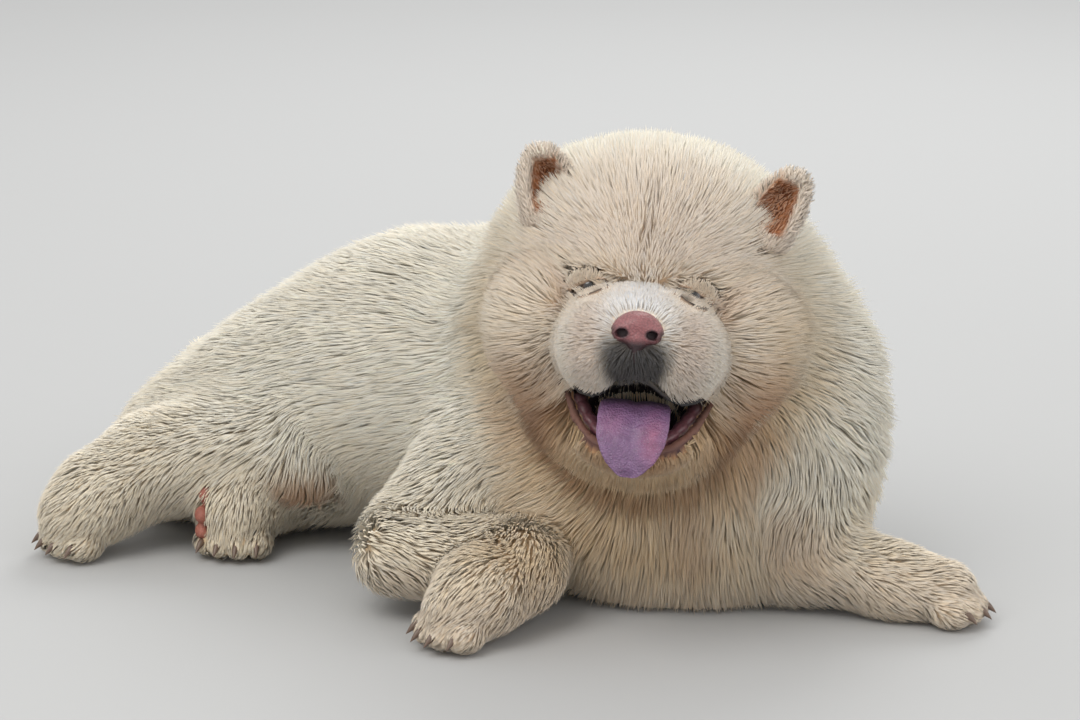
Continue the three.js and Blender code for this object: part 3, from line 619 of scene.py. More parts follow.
class Finish:
    """A material and its nodes, built up call by call. Constants are named with _ for a space."""

    def __init__(self, name, **constants):
        self.material = bpy.data.materials.new(name)
        self.material.use_nodes = True
        self.tree = self.material.node_tree
        self.shader = self.tree.nodes["Principled BSDF"]
        for socket, value in constants.items():
            self.shader.inputs[socket.replace("_", " ")].default_value = value

    def node(self, kind, node_settings=None, inputs=(), output=0):
        """Adds a node: its settings first, then the values or links of its sockets."""
        node = self.tree.nodes.new(kind)
        for key, value in (node_settings or {}).items():
            if key == "stops":
                ramp = node.color_ramp.elements
                while len(ramp) < len(value):
                    ramp.new(0.5)
                for element, (place, colour) in zip(ramp, value):
                    element.position = place
                    element.color = (*colour, 1) if len(colour) == 3 else colour
            else:
                setattr(node, key, value)
        pairs = inputs.items() if isinstance(inputs, dict) else enumerate(inputs)
        for key, value in pairs:
            if isinstance(value, Wire):
                self.tree.links.new(value.socket, node.inputs[key])
            else:
                node.inputs[key].default_value = value
        return Wire(self, node.outputs[output])

    def mix(self, factor, a, b, blend="MIX"):
        """Mixes two colours."""
        a, b = ((*v, 1) if not isinstance(v, Wire) and len(v) == 3 else v for v in (a, b))
        kind = {"data_type": "RGBA", "blend_type": blend}
        return self.node("ShaderNodeMix", kind, {0: factor, 6: a, 7: b}, 2)

    def place(self):
        return self.node("ShaderNodeTexCoord", output="Object")

    def grain(self, scale, detail=3.0, roughness=0.55):
        """Cloudy noise from 0 to 1, with scale in lumps to the metre."""
        return self.node(
            "ShaderNodeTexNoise", {}, {"Vector": self.place(), "Scale": scale, "Detail": detail,
                                       "Roughness": roughness})

    def pebbles(self, scale):
        """Distance to the nearest of many scattered points."""
        return self.node("ShaderNodeTexVoronoi", {}, {"Vector": self.place(), "Scale": scale})

    def ramp(self, value, stops):
        return self.node("ShaderNodeValToRGB", {"stops": stops}, [value])

    def feed(self, socket, wire):
        self.tree.links.new(wire.socket, self.shader.inputs[socket])
        return self

    def bump(self, height, depth, strength=1.0):
        """Height from 0 to 1, as deep as depth in metres."""
        normal = self.node("ShaderNodeBump", {}, {"Strength": strength, "Distance": depth, "Height": height})
        return self.feed("Normal", normal)


def coat_finish(name):
    made = Finish(
        name, Roughness=0.82, Specular_IOR_Level=0.25, Sheen_Weight=0.12, Sheen_Roughness=0.6,
        Subsurface_Weight=0.35, Subsurface_Radius=(1.0, 0.85, 0.65), Subsurface_Scale=0.004)
    stored = made.node("ShaderNodeAttribute", {"attribute_name": "Coat"}, output="Color")
    strand = made.node("ShaderNodeAttribute", {"attribute_name": "Strand"}, output="Vector")
    stretched = made.node("ShaderNodeVectorMath", {"operation": "MULTIPLY"}, [strand, (5.0, 0.8, 1.0)])
    hairs = made.node("ShaderNodeTexNoise", {}, {"Vector": stretched, "Scale": 1.6, "Detail": 1.0})
    made.feed("Base Color", made.mix(hairs * 0.2, stored, stored, "MULTIPLY"))
    made.bump(hairs, 0.0004, 0.5)
    return made.material


def skin_finish():
    made = Finish("bare_skin")
    stored = made.node("ShaderNodeAttribute", {"attribute_name": "Coat"}, output="Color")
    cloud = made.grain(160, 4.0)
    made.feed("Base Color", made.mix(cloud * 0.35, stored, stored, "MULTIPLY"))
    made.feed("Roughness", cloud * 0.2 + 0.55)
    made.bump(made.grain(900, 3.0), 0.0006, 0.5)
    return made.material


def eye_finish(colours):
    made = Finish("wet_eye", Roughness=0.06, Coat_Weight=1.0, Coat_Roughness=0.03)
    away = made.node("ShaderNodeAttribute", {"attribute_name": "Ring"}, output="Fac")
    streaks = made.grain(1500, 3.0)
    ring = away + (streaks - 0.5) * 0.06
    iris = tuple(colours["iris"])
    dark = tuple(colours["iris"] * 0.25)
    white = tuple(linear((176, 150, 136)))
    made.feed("Base Color", made.ramp(ring, [
        (0.0, (0.002, 0.002, 0.003)), (0.2, (0.002, 0.002, 0.003)), (0.25, dark), (0.36, iris),
        (0.5, dark), (0.58, white)]))
    return made.material


def leather_finish(name, colour, dark, scale, depth, roughness, coat=0.0):
    """Bare wet or dry skin: pebbled and clouded, with painted shade in the grooves between the pebbles and a
    darker tone where its Shade attribute is high.
    """
    made = Finish(
        name, Coat_Weight=coat, Coat_Roughness=0.25, Subsurface_Weight=0.12,
        Subsurface_Radius=(0.004, 0.002, 0.0015), Subsurface_Scale=0.5)
    cells = made.pebbles(scale)
    cloud = made.grain(scale * 0.16, 4.0)
    shade = made.node("ShaderNodeAttribute", {"attribute_name": "Shade"}, output="Fac")
    tone = made.mix(shade + (cloud - 0.5) * 0.5, tuple(colour), tuple(dark))
    # painted shade in the grooves between the pebbles
    made.feed("Base Color", made.mix(cells * 0.5, tone, tuple(dark)))
    made.feed("Roughness", cloud * 0.25 + (roughness - 0.12))
    made.bump(1 - cells, depth, 0.8)
    return made.material


def tongue_finish(colours):
    made = Finish(
        "tongue_flesh", Coat_Weight=0.35, Coat_Roughness=0.3, Subsurface_Weight=0.2,
        Subsurface_Radius=(0.006, 0.002, 0.003), Subsurface_Scale=0.5)
    shade = made.node("ShaderNodeAttribute", {"attribute_name": "Shade"}, output="Fac")
    pink = tuple(linear((156, 88, 118)))
    deep = tuple(linear((74, 46, 80)))
    cloud = made.grain(130, 5.0)
    tone = made.mix(shade, tuple(colours["tongue"]), pink)
    tone = made.mix((cloud - 0.42) * 1.6, tone, deep)
    # pale papillae speckles, which also stand in for wet glints: partly painted highlights
    papillae = made.pebbles(620)
    spots = made.ramp(papillae + made.grain(420, 2.0) * 0.5, [(0.3, (0.5, 0.5, 0.5)), (0.46, (0, 0, 0))])
    made.feed("Base Color", made.mix(spots, tone, tuple(linear((196, 170, 196)))))
    made.feed("Roughness", cloud * 0.2 + 0.38)
    made.bump(1 - papillae, 0.0009, 1.0)
    return made.material


def floor_finish(colours):
    made = Finish("plain_floor", Roughness=0.9)
    cloud = made.grain(3.0, 3.0)
    colour = tuple(colours["floor"])
    made.feed("Base Color", made.mix(cloud * 0.06, colour, tuple(colours["floor"] * 0.8)))
    return made.material


# Making and shaping meshes
def nothing_selected():
    if bpy.context.object and bpy.context.object.mode != "OBJECT":
        bpy.ops.object.mode_set(mode="OBJECT")
    bpy.ops.object.select_all(action="DESELECT")


def only(piece):
    nothing_selected()
    piece.select_set(True)
    bpy.context.view_layer.objects.active = piece


def read(items, field, width, kind=float):
    """One field of all items of a mesh, as rows."""
    found = np.empty(len(items) * width, kind)
    items.foreach_get(field, found)
    return found.reshape(-1, width)


def places_of(piece):
    """The corners of a mesh, in millimetres on the dog's grid."""
    return from_scene(read(piece.data.vertices, "co", 3))


def put_places(piece, p):
    piece.data.vertices.foreach_set("co", to_scene(p).ravel())
    piece.data.update()


def normals_of(piece):
    return read(piece.data.vertex_normals, "vector", 3)


def triangles_of(piece):
    """A piece's triangles: their corners, the corners' places, normals and unwrap, middles and areas."""
    mesh = piece.data
    mesh.calc_loop_triangles()
    corners = read(mesh.loop_triangles, "vertices", 3, np.int32)
    loops = read(mesh.loop_triangles, "loops", 3, np.int32)
    p = places_of(piece)
    uv = read(mesh.uv_layers["OFBake"].data, "uv", 2)
    a, b, c = (p[corners[:, i]] for i in range(3))
    area = np.linalg.norm(np.cross(b - a, c - a), axis=-1) / 2
    return p[corners], normals_of(piece)[corners], uv[loops], (a + b + c) / 3, area


def mesh_piece(name, points, faces):
    """A mesh object from corners in millimetres and faces that all have as many corners."""
    mesh = bpy.data.meshes.new(name)
    faces = np.asarray(faces)
    mesh.vertices.add(len(points))
    mesh.vertices.foreach_set("co", to_scene(points).ravel())
    mesh.loops.add(faces.size)
    mesh.loops.foreach_set("vertex_index", faces.ravel())
    mesh.polygons.add(len(faces))
    mesh.polygons.foreach_set("loop_start", np.arange(0, faces.size, faces.shape[1]))
    mesh.update(calc_edges=True)
    piece = bpy.data.objects.new(name, mesh)
    bpy.context.collection.objects.link(piece)
    return piece


def smooth_shaded(piece):
    piece.data.polygons.foreach_set("use_smooth", np.ones(len(piece.data.polygons), bool))
    piece.data.update()


def modified(piece, kind, **values):
    """Adds one modifier and applies it."""
    only(piece)
    modifier = piece.modifiers.new("shape", kind)
    for key, value in values.items():
        setattr(modifier, key, value)
    bpy.ops.object.modifier_apply(modifier=modifier.name)


def turned(axes):
    """Axes given as rows, as a matrix that turns a piece on to them."""
    return Matrix([list(map(float, row)) for row in np.asarray(axes)]).transposed().to_4x4()


def lump(centre, radii, axes, segments=24, rings=14):
    """One egg-shaped primitive at its place."""
    nothing_selected()
    bpy.ops.mesh.primitive_uv_sphere_add(segments=segments, ring_count=rings, radius=1)
    piece = bpy.context.object
    place = Matrix.Translation(Vector(to_scene(centre)))
    piece.matrix_world = place @ turned(axes) @ Matrix.Diagonal((*[float(r) / 1000 for r in radii], 1))
    bpy.ops.object.transform_apply(location=True, rotation=True, scale=True)
    return piece


def joined_pieces(pieces, name):
    nothing_selected()
    for piece in pieces:
        piece.select_set(True)
    bpy.context.view_layer.objects.active = pieces[0]
    bpy.ops.object.join()
    bpy.context.object.name = name
    return bpy.context.object


def cut_away(piece, cutter):
    modified(piece, "BOOLEAN", object=cutter, operation="DIFFERENCE", solver="EXACT")
    bpy.data.objects.remove(cutter, do_unlink=True)


def settle(piece, surface, rounds, most):
    """Moves a mesh's corners straight on to a surface, no further than most in one round."""
    p = places_of(piece)
    for _ in range(rounds):
        d, way = slope_of(surface, p)
        p = p - way * np.clip(d, -most, most)[:, None]
    put_places(piece, p)


def store(piece, name, values, kind="FLOAT", domain="POINT"):
    attribute = piece.data.attributes.new(name, kind, domain)
    if kind == "FLOAT":
        attribute.data.foreach_set("value", np.asarray(values, float))
    else:
        values = np.concatenate([values, np.ones((len(values), 1))], 1)
        attribute.data.foreach_set("color", values.ravel())


def finished(piece, material, slot, *nodes):
    """Sets a piece's material and smooth shading, attaches it to the root body and hides the parts it stands
    for.
    """
    piece.data.materials.clear()
    piece.data.materials.append(material)
    smooth_shaded(piece)
    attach(piece, "root")
    if nodes:
        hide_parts(*nodes)
    return piece


def unwrapped(piece):
    """An unwrap of the piece's own shape, under the name that the coat's maps share."""
    only(piece)
    while piece.data.uv_layers:
        piece.data.uv_layers.remove(piece.data.uv_layers[0])
    piece.data.uv_layers.new(name="OFBake")
    bpy.ops.object.mode_set(mode="EDIT")
    bpy.ops.mesh.select_all(action="SELECT")
    bpy.ops.uv.smart_project(angle_limit=math.radians(66), island_margin=0.002)
    bpy.ops.object.mode_set(mode="OBJECT")


# Skin
def body_skin(sizes):
    lumps = [lump(*shape) for mass in TORSO + MANE + TAIL for shape in mass.lumps(TRUNK_BARE)]
    lumps += [lump(*shape) for mass in LIMBS + TOES for shape in mass.lumps(0.9)]
    body = joined_pieces(lumps, "body_skin")
    modified(body, "REMESH", mode="VOXEL", voxel_size=sizes.body_voxel)
    settle(body, lambda p: body_distance(p, 1), 4, 6)
    modified(body, "SMOOTH", factor=0.4, iterations=2)
    return body


def head_skin(sizes):
    voxel = sizes.head_voxel
    jaw = joined_pieces([lump(*shape) for mass in JAW for shape in mass.lumps(1)], "jaw_skin")
    modified(jaw, "REMESH", mode="VOXEL", voxel_size=voxel * 1.4)
    nothing_selected()
    bpy.ops.mesh.primitive_cube_add(size=1)
    block = bpy.context.object
    out = HEAD[2] * math.cos(SLOPE) + HEAD[0] * math.sin(SLOPE)
    forward = HEAD[0] * math.cos(SLOPE) - HEAD[2] * math.sin(SLOPE)
    centre = on_head(25, 0, -99) + out * 60
    place = Matrix.Translation(Vector(to_scene(centre)))
    block.matrix_world = place @ turned((forward, HEAD[1], out)) @ Matrix.Diagonal((0.24, 0.2, 0.12, 1))
    bpy.ops.object.transform_apply(location=True, rotation=True, scale=True)
    cut_away(jaw, block)
    lumps = [lump(*shape) for mass in SKULL for shape in mass.lumps(1)]
    for line in lip_lines():
        for a, b in zip(line, line[1:]):
            count = max(2, int(np.linalg.norm(np.subtract(b, a)) / 2.5))
            for t in np.linspace(0, 1, count, endpoint=False):
                spot = on_head(*(np.array(a) + (np.array(b) - a) * t))
                lumps.append(lump(spot, (2.8, 2.8, 2.8), HEAD, 10, 6))
    head = joined_pieces([*lumps, jaw], "head_skin")
    modified(head, "REMESH", mode="VOXEL", voxel_size=voxel * 1.3)
    cut_away(head, lump(MOUTH.centre, MOUTH.radii, HEAD, 48, 24))
    cut_away(head, lump(PALATE.centre, PALATE.radii, HEAD, 32, 20))
    for socket in SOCKETS:
        cut_away(head, lump(socket.centre, socket.radii, HEAD, 32, 16))
    modified(head, "REMESH", mode="VOXEL", voxel_size=voxel)
    settle(head, lambda p: head_distance(p, 1), 3, 1.5)
    modified(head, "SMOOTH", factor=0.35, iterations=1)
    return head


def bare_share(q):
    """1 on the lips, in the mouth and round the eyes, where no hair grows."""
    upper, lower = (line_distance(q, line) for line in lip_lines())
    bare = np.maximum(smooth((2.6 - upper) / 1.2), smooth((4.8 - lower) / 1.2))
    above = above_slope(q)
    floor = smooth((above + 3.6) / 1.6) * smooth((-70 - q[:, 2]) / 5) * smooth((q[:, 0] + 14) / 6)
    bare = np.maximum(bare, floor * smooth((62 - np.abs(q[:, 1] - MOUTH_ASIDE)) / 4))
    between = smooth((47 - np.abs(q[:, 1] - MOUTH_ASIDE)) / 3)
    roof = smooth((-60 - q[:, 2]) / 3) * between * smooth((52 - q[:, 0]) / 5)
    bare = np.maximum(bare, roof * smooth((q[:, 0] + 30) / 8) * smooth((above + 3) / 3))
    wedge = smooth((above + 5) / 2) * smooth((-60 - q[:, 2]) / 3) * smooth((46 - q[:, 0]) / 4)
    bare = np.maximum(bare, wedge * between)
    inside = np.minimum(MOUTH.distance(EYES_MIDDLE + q @ HEAD, 0), PALATE.distance(EYES_MIDDLE + q @ HEAD, 0))
    bare = np.maximum(bare, smooth((3.4 - inside) / 1.4) * smooth((q[:, 0] + 50) / 10))
    for socket in SOCKETS:
        bare = np.maximum(bare, smooth((-0.4 - socket.distance(EYES_MIDDLE + q @ HEAD, 0)) / 0.8))
    nose = Ball((70, 1, -26), (14, 17, 13), 0)
    return np.maximum(bare, smooth((1.5 - nose.distance(q, 0)) / 1.2))


class CHOW_OT_skin(bpy.types.Operator):
    """Models the dog's skin, which the coat grows from"""

    bl_idname = "chow.skin"
    bl_label = "Skin"

    def execute(self, context):
        sizes, _ = settings()
        colours = palette()
        skin = joined_pieces([body_skin(sizes), head_skin(sizes)], "skin")
        unwrapped(skin)
        p = places_of(skin)
        q = head_frame(p)
        colour = coat_colour(p, colours) * np.array([0.94, 0.86, 0.78])
        on_face = np.linalg.norm(p - on_head(20, 0, -60), axis=-1) < 130
        bare = np.zeros(len(p))
        bare[on_face] = bare_share(q[on_face])
        gum = mixed(np.tile(colours["gum"], (len(p), 1)), colours["gum"] * 0.5, smooth((q[:, 2] + 60) / 30))
        lower = line_distance(q, list(lip_lines())[1])
        gum = mixed(gum, colours["lip"], 0.75 * smooth((5.5 - lower) / 3))
        # painted shade: nearly black in the middle of the mouth and towards its back, where the mouth is deep
        gum = mixed(gum, colours["gum"] * 0.2, patch(q, (0, MOUTH_ASIDE, -80), (74, 50, 24), 0.3))
        gum = mixed(gum, colours["gum"] * 0.2, smooth((-6 - q[:, 0]) / 20))
        gum = mixed(gum, colours["snout"] * 0.5, smooth((3.2 - line_distance(q, list(lip_lines())[0])) / 2))
        colour = mixed(colour, gum, bare)
        store(skin, "Coat", colour, "FLOAT_COLOR")
        covered = [name for name in frame["nodes"] if name not in OWN_PIECES]
        finished(skin, skin_finish(), "coat", *covered)
        return {"FINISHED"}


OWN_PIECES = {"eye_left", "eye_right", "tongue", "nose", "ear_left", "ear_right"}


# Eyes
def skin_ahead(l, u):
    """How far forward the skin of the head lies at places left and up of the eyes' middle."""
    f = np.full(len(l), 70.0)
    for _ in range(16):
        q = np.stack([f, l, u], -1)
        f = f - skull_distance(EYES_MIDDLE + q @ HEAD, 1)
    return f


def eye_middle(side, radius):
    """The middle of an eyeball, set so that its front is just behind the skin."""
    _, l, u = EYE_PLACE
    ahead = skin_ahead(np.array([l * side]), np.array([u]))[0]
    return np.array([ahead - 2.2 - radius, l * side, u])


def slit_of(q, side):
    """How far places lie above an eye's slanted slit, and 1 on its rim and more outside it."""
    slant = q[:, 2] + 0.6 + 0.4 * q[:, 1] * side
    return slant, np.hypot(q[:, 1] / 11.5, slant / 3.6)


def lid_rings(side, radius):
    """Rings of a lid from its rim on the eyeball out to where it tucks under the skin."""
    centre = eye_middle(side, radius)
    turn = np.linspace(0, 2 * math.pi, 56, endpoint=False)
    inner_l = 11.5 * np.cos(turn)
    inner_u = (3.5 - 0.9 * np.cos(turn)) * np.sin(turn) - 0.6 - 0.4 * inner_l
    outer_l, outer_u = 16.5 * np.cos(turn), 11.0 * np.sin(turn)
    rings = []
    for s in np.linspace(0, 1, 10):
        l = inner_l * (1 - s) + outer_l * s
        u = inner_u * (1 - s) + outer_u * s
        ball = radius + 0.3
        on_ball = centre[0] + np.sqrt(np.maximum(ball**2 - np.minimum(l**2 + u**2, (ball * 0.95) ** 2), 0))
        on_skin = skin_ahead(centre[1] + l * side, centre[2] + u)
        f = np.maximum(on_ball, on_skin + 1.0 - 3.4 * (1 - smooth(s * 2.2)))
        f = f + 2.6 * s * (1 - s) * (0.5 + 1.2 * np.clip(u / 6, 0, 1)) - 3.4 * s**5
        rings.append(np.stack([f, centre[1] + l * side, centre[2] + u], -1))
    return rings


def ringed(rings, closed_start=True, closed_end=True):
    """Corners and faces of a tube through rings of corners."""
    count = len(rings[0])
    points = np.concatenate(rings)
    faces = []
    around = np.arange(count)
    after = (around + 1) % count
    for i in range(len(rings) - 1):
        a, b = i * count, (i + 1) * count
        faces.append(np.stack([a + around, a + after, b + after, b + around], -1))
    faces = np.concatenate(faces)
    triangles = np.concatenate([faces[:, [0, 1, 2]], faces[:, [0, 2, 3]]])
    if closed_start:
        points = np.concatenate([points, [rings[0].mean(0)]])
        centre = np.full(count, len(points) - 1)
        triangles = np.concatenate([triangles, np.stack([after, around, centre], -1)])
    if closed_end:
        points = np.concatenate([points, [rings[-1].mean(0)]])
        centre = np.full(count, len(points) - 1)
        last = (len(rings) - 1) * count
        triangles = np.concatenate([triangles, np.stack([last + around, last + after, centre], -1)])
    return points, triangles


def facing_out(piece):
    only(piece)
    bpy.ops.object.mode_set(mode="EDIT")
    bpy.ops.mesh.select_all(action="SELECT")
    bpy.ops.mesh.normals_make_consistent(inside=False)
    bpy.ops.object.mode_set(mode="OBJECT")


class CHOW_OT_eyes(bpy.types.Operator):
    """Models both eyes and their lids"""

    bl_idname = "chow.eyes"
    bl_label = "Eyes and lids"

    def execute(self, context):
        sizes, _ = settings()
        colours = palette()
        radius = sizes.eye_radius * 1000
        wet = eye_finish(colours)
        pale, dark = linear((206, 176, 150)), linear((30, 20, 18))
        lid = leather_finish("eyelid_skin", pale, dark, 700, 0.0003, 0.55, 0.05)
        for name, side in SIDES.items():
            place = eye_middle(side, radius)
            ball = lump(on_head(*place), (radius, radius, radius), HEAD, 48, 32)
            p = places_of(ball)
            q = (head_frame(p) - place) / radius
            look = unit((1, 0.1 * -side, 0.02))
            away = np.arccos(np.clip(unit(q) @ look, -1, 1)) / math.pi
            bulge = 1.0 * smooth((0.24 - away) / 0.14)
            put_places(ball, p + (unit(q) @ HEAD) * bulge[:, None])
            ball.name = "eyeball_" + name
            store(ball, "Ring", away * 2.1)
            finished(ball, wet, "eye", "eye_" + name)
            rings = lid_rings(side, radius)
            inner = [r - (1.3, 0, 0) for r in rings[::-1]]
            points, faces = ringed([*rings, *inner, rings[0]], False, False)
            rim = mesh_piece("eyelids_" + name, on_head(0, 0, 0) + points @ HEAD, faces)
            modified(rim, "WELD", merge_threshold=0.00005)
            facing_out(rim)
            unwrapped(rim)
            q = head_frame(places_of(rim)) - place
            store(rim, "Shade", 1 - smooth((slit_of(q, side)[1] - 1.1) / 0.5))
            finished(rim, lid, "face")
        return {"FINISHED"}


# Nose
NOSE = [
    Ball((68, 1, -23), (13, 15.5, 10.5), 0),
    Ball((70, 11.5, -28), (11, 9, 8.5), 0),
    Ball((70, -9.5, -28), (11, 9, 8.5), 0),
    Ball((68, 1, -33), (13, 9, 10), 0),
    Ball((65, 1, -44), (11, 4.5, 10), 0),
]
NOSTRIL = Ball((80, 11, -29), (9, 4.0, 3.1), 0)


def beside_nose(q):
    """Places folded on to one side of the nose's middle."""
    sided = q - (0, 1, 0)
    sided[:, 1] = np.abs(sided[:, 1])
    return sided


def nose_distance(q):
    """Distance from the nose's leather, in the head's frame."""
    d = joined_distance(NOSE, q, 0, 4)
    sided = beside_nose(q)
    nostril = NOSTRIL.distance(sided, 0)
    comma = Limb((79, 13, -30), (70, 21, -30), 2.1, 1.3, 0, 0).distance(sided, 0)
    d = carved(d, nostril, 2.2)
    d = carved(d, comma, 2.0)
    groove = Limb((84, 1, -33), (79, 1, -54), 0.9, 1.4, 0, 0).distance(q, 0)
    return carved(d, groove, 2.4)


class CHOW_OT_nose(bpy.types.Operator):
    """Models the nose with its nostrils and groove"""

    bl_idname = "chow.nose"
    bl_label = "Nose"

    def execute(self, context):
        colours = palette()
        lumps = [lump(on_head(*ball.centre), ball.radii, HEAD, 32, 20) for ball in NOSE]
        nose = joined_pieces(lumps, "nose_leather")
        modified(nose, "REMESH", mode="VOXEL", voxel_size=0.0009)
        for side in (-1, 1):
            ahead, aside, up = NOSTRIL.centre
            cut_away(nose, lump(on_head(ahead, 1 + aside * side, up), NOSTRIL.radii, HEAD, 24, 16))
        modified(nose, "REMESH", mode="VOXEL", voxel_size=0.0008)
        settle(nose, lambda p: nose_distance(head_frame(p)), 3, 0.8)
        q = head_frame(places_of(nose))
        sided = beside_nose(q)
        hole = NOSTRIL.distance(sided, 0)
        # painted shade in and round the nostrils and in the slits beside them; the leather also darkens
        # towards its bottom
        dark = np.maximum(smooth((2.4 - hole) / 2.6), smooth((-q[:, 2] - 31) / 7))
        dark = np.maximum(dark, 0.75 * smooth((sided[:, 1] - 12) / 6) * smooth((-q[:, 2] - 22) / 5))
        store(nose, "Shade", np.clip(dark, 0, 1))
        dark_and_shaded_nose = linear((58, 40, 44))
        finished(nose, leather_finish("nose_leather", colours["nose"], dark_and_shaded_nose, 620, 0.0006, 0.42, 0.25),
                 "nose", "nose")
        return {"FINISHED"}


# Mouth
TONGUE = [
    (-12, -92, 17, 6.0),
    (6, -88, 21, 6.0),
    (20, -86, 24, 6.0),
    (34, -86, 26, 5.8),
    (45, -91, 26.5, 5.4),
    (53, -99, 26.5, 5.0),
    (58, -107, 25.5, 4.6),
    (61, -115, 23, 4.2),
    (62.5, -122, 19, 3.8),
    (63, -128, 14, 3.2),
    (62.5, -134, 6, 2.2),
]


def spread_evenly(stations, count):
    """Smoothly spaced rows between the stations of a shape."""
    stations = np.array(stations, float)
    along = np.concatenate([[0], np.cumsum(np.linalg.norm(np.diff(stations[:, :2], axis=0), axis=-1))])
    places = np.linspace(0, along[-1], count)
    rows = np.stack([np.interp(places, along, column) for column in stations.T], -1)
    for _ in range(3):
        rows[1:-1] = (rows[:-2] + 2 * rows[1:-1] + rows[2:]) / 4
    return rows


class CHOW_OT_mouth(bpy.types.Operator):
    """Models the tongue and the gums"""

    bl_idname = "chow.mouth"
    bl_label = "Tongue and gums"

    def execute(self, context):
        colours = palette()
        rows = spread_evenly(TONGUE, 40)
        around = np.linspace(0, 2 * math.pi, 44, endpoint=False)
        rings = []
        for i, (f, u, half, thin) in enumerate(rows):
            before, after = rows[max(i - 1, 0)], rows[min(i + 1, len(rows) - 1)]
            way = unit((after[0] - before[0], 0, after[1] - before[1]))
            out = np.array([-way[2], 0, way[0]])
            flat = np.sign(np.cos(around)) * np.abs(np.cos(around)) ** 0.8
            high = np.sign(np.sin(around)) * np.abs(np.sin(around)) ** 0.9
            groove = -2.0 * np.exp(-((flat * half / 3.0) ** 2)) * (high > 0)
            curl = 2.6 * np.abs(flat) ** 3
            lift = high * thin + groove + curl
            centre = np.array([f, MOUTH_ASIDE - 1, u])
            rings.append(centre + np.outer(flat * half, (0, 1, 0)) + np.outer(lift, out))
        points, faces = ringed(rings)
        tongue = mesh_piece("tongue_flesh", EYES_MIDDLE + points @ HEAD, faces)
        facing_out(tongue)
        modified(tongue, "SUBSURF", levels=1, render_levels=1)
        p = places_of(tongue)
        rough = noise(p, 5, 9) * 0.4 + noise(p, 2.6, 10) * 0.22
        put_places(tongue, p + normals_of(tongue) * rough[:, None])
        q = head_frame(p)
        pink = patch(q, (58, 20, -106), (24, 8, 15), 0.9) * (0.6 + 0.3 * noise(p, 5, 8))
        pink += 0.25 * patch(q, (60, -12, -96), (20, 9, 10), 0.9)
        store(tongue, "Shade", np.clip(pink, 0, 1))
        finished(tongue, tongue_finish(colours), "tongue", "tongue")
        ridges = []
        gum = leather_finish("gum_flesh", linear((118, 72, 80)), colours["gum"] * 0.5, 380, 0.0004, 0.42, 0.2)
        for side in (-1, 1):
            line = [(f - 7, MOUTH_ASIDE + side * (l - 8), u + 2) for f, l, u in LOWER_LIP[:5]]
            for i, row in enumerate(spread_evenly(line, 26)):
                r = 5.2 + 0.7 * math.sin(i * 1.3)
                ridges.append(lump(on_head(*row), (r, r, r * 0.8), HEAD, 12, 8))
        gums = joined_pieces(ridges, "gums")
        modified(gums, "REMESH", mode="VOXEL", voxel_size=0.0013)
        modified(gums, "SMOOTH", factor=0.5, iterations=3)
        q = head_frame(places_of(gums))
        # painted shade: the gums darken towards the back of the mouth and towards their top
        store(gums, "Shade", smooth((-q[:, 0] + 30) / 40) * 0.7 + smooth((q[:, 2] + 86) / 8) * 0.5)
        finished(gums, gum, "tongue")
        return {"FINISHED"}


# Ears
EARS = {1: ((-36, 84, 48), (-30, 103, 96)), -1: ((-36, -74, 48), (-30, -85, 96))}
EAR_ROWS = [
    (0.0, -2, 22, 14), (0.3, -2, 22, 13), (0.6, -2, 19, 11), (0.8, -1.5, 14.5, 8.5), (0.92, -0.5, 10, 6.5),
    (0.985, 0, 5.5, 3.6),
]


def across_ear(side):
    return unit(HEAD[1] + 0.25 * side * HEAD[0])


def ear_shape(side):
    """Rings of an ear, from its root to its rounded tip, with its cup pressed in."""
    base, tip = (on_head(*place) for place in EARS[side])
    wide = across_ear(side)
    front = HEAD[0]
    around = np.linspace(0, 2 * math.pi, 48, endpoint=False)
    rows = np.array(EAR_ROWS)
    rings = []
    for t in np.concatenate([np.linspace(-0.25, 0.85, 26), np.linspace(0.87, 0.985, 8)]):
        ahead, half, thin = (np.interp(t, rows[:, 0], column) for column in rows[:, 1:].T)
        x, y = np.cos(around), np.sin(around)
        cup = 17 * np.clip(1 - (x / 0.74) ** 2, 0, 1) ** 0.6
        cup = cup * smooth((t - 0.04) / 0.22) * smooth((0.93 - t) / 0.3)
        press = cup * (y > 0) * smooth(y / 0.5)
        forward = ahead + y * thin - np.minimum(press, thin * 1.55)
        centre = base + (tip - base) * t
        rings.append(centre + np.outer(x * half, wide) + np.outer(forward, front))
    return rings


class CHOW_OT_ears(bpy.types.Operator):
    """Models both ears with their cups"""

    bl_idname = "chow.ears"
    bl_label = "Ears"

    def execute(self, context):
        colours = palette()
        for name, side in SIDES.items():
            points, faces = ringed(ear_shape(side))
            ear = mesh_piece("ear_skin_" + name, points, faces)
            facing_out(ear)
            modified(ear, "SMOOTH", factor=0.5, iterations=2)
            unwrapped(ear)
            p = places_of(ear)
            inside = ear_cup_share(p, side)
            colour = mixed(coat_colour(p, colours) * 0.8, colours["ear"], inside)
            # painted shade deep in the middle of the cup
            depth = ear_cup_share(p, side, 0.35)
            colour = mixed(colour, colours["ear"] * (0.42, 0.34, 0.3), depth * 0.8)
            store(ear, "Coat", colour, "FLOAT_COLOR")
            finished(ear, skin_finish(), "ear", "ear_" + name)
        return {"FINISHED"}


def ear_cup_share(p, side, narrow=0.72):
    """1 inside an ear's cup."""
    base, tip = (on_head(*place) for place in EARS[side])
    wide = across_ear(side)
    t = (p - base) @ (tip - base) / ((tip - base) @ (tip - base))
    centre = base + np.outer(t, tip - base)
    rows = np.array(EAR_ROWS)
    half = np.interp(t, rows[:, 0], rows[:, 2])
    x = (p - centre) @ wide / half
    ahead = (p - centre) @ HEAD[0]
    share = smooth((narrow - np.abs(x)) / 0.2) * smooth((t - 0.02) / 0.1) * smooth((0.93 - t) / 0.1)
    return share * (ahead > -11)


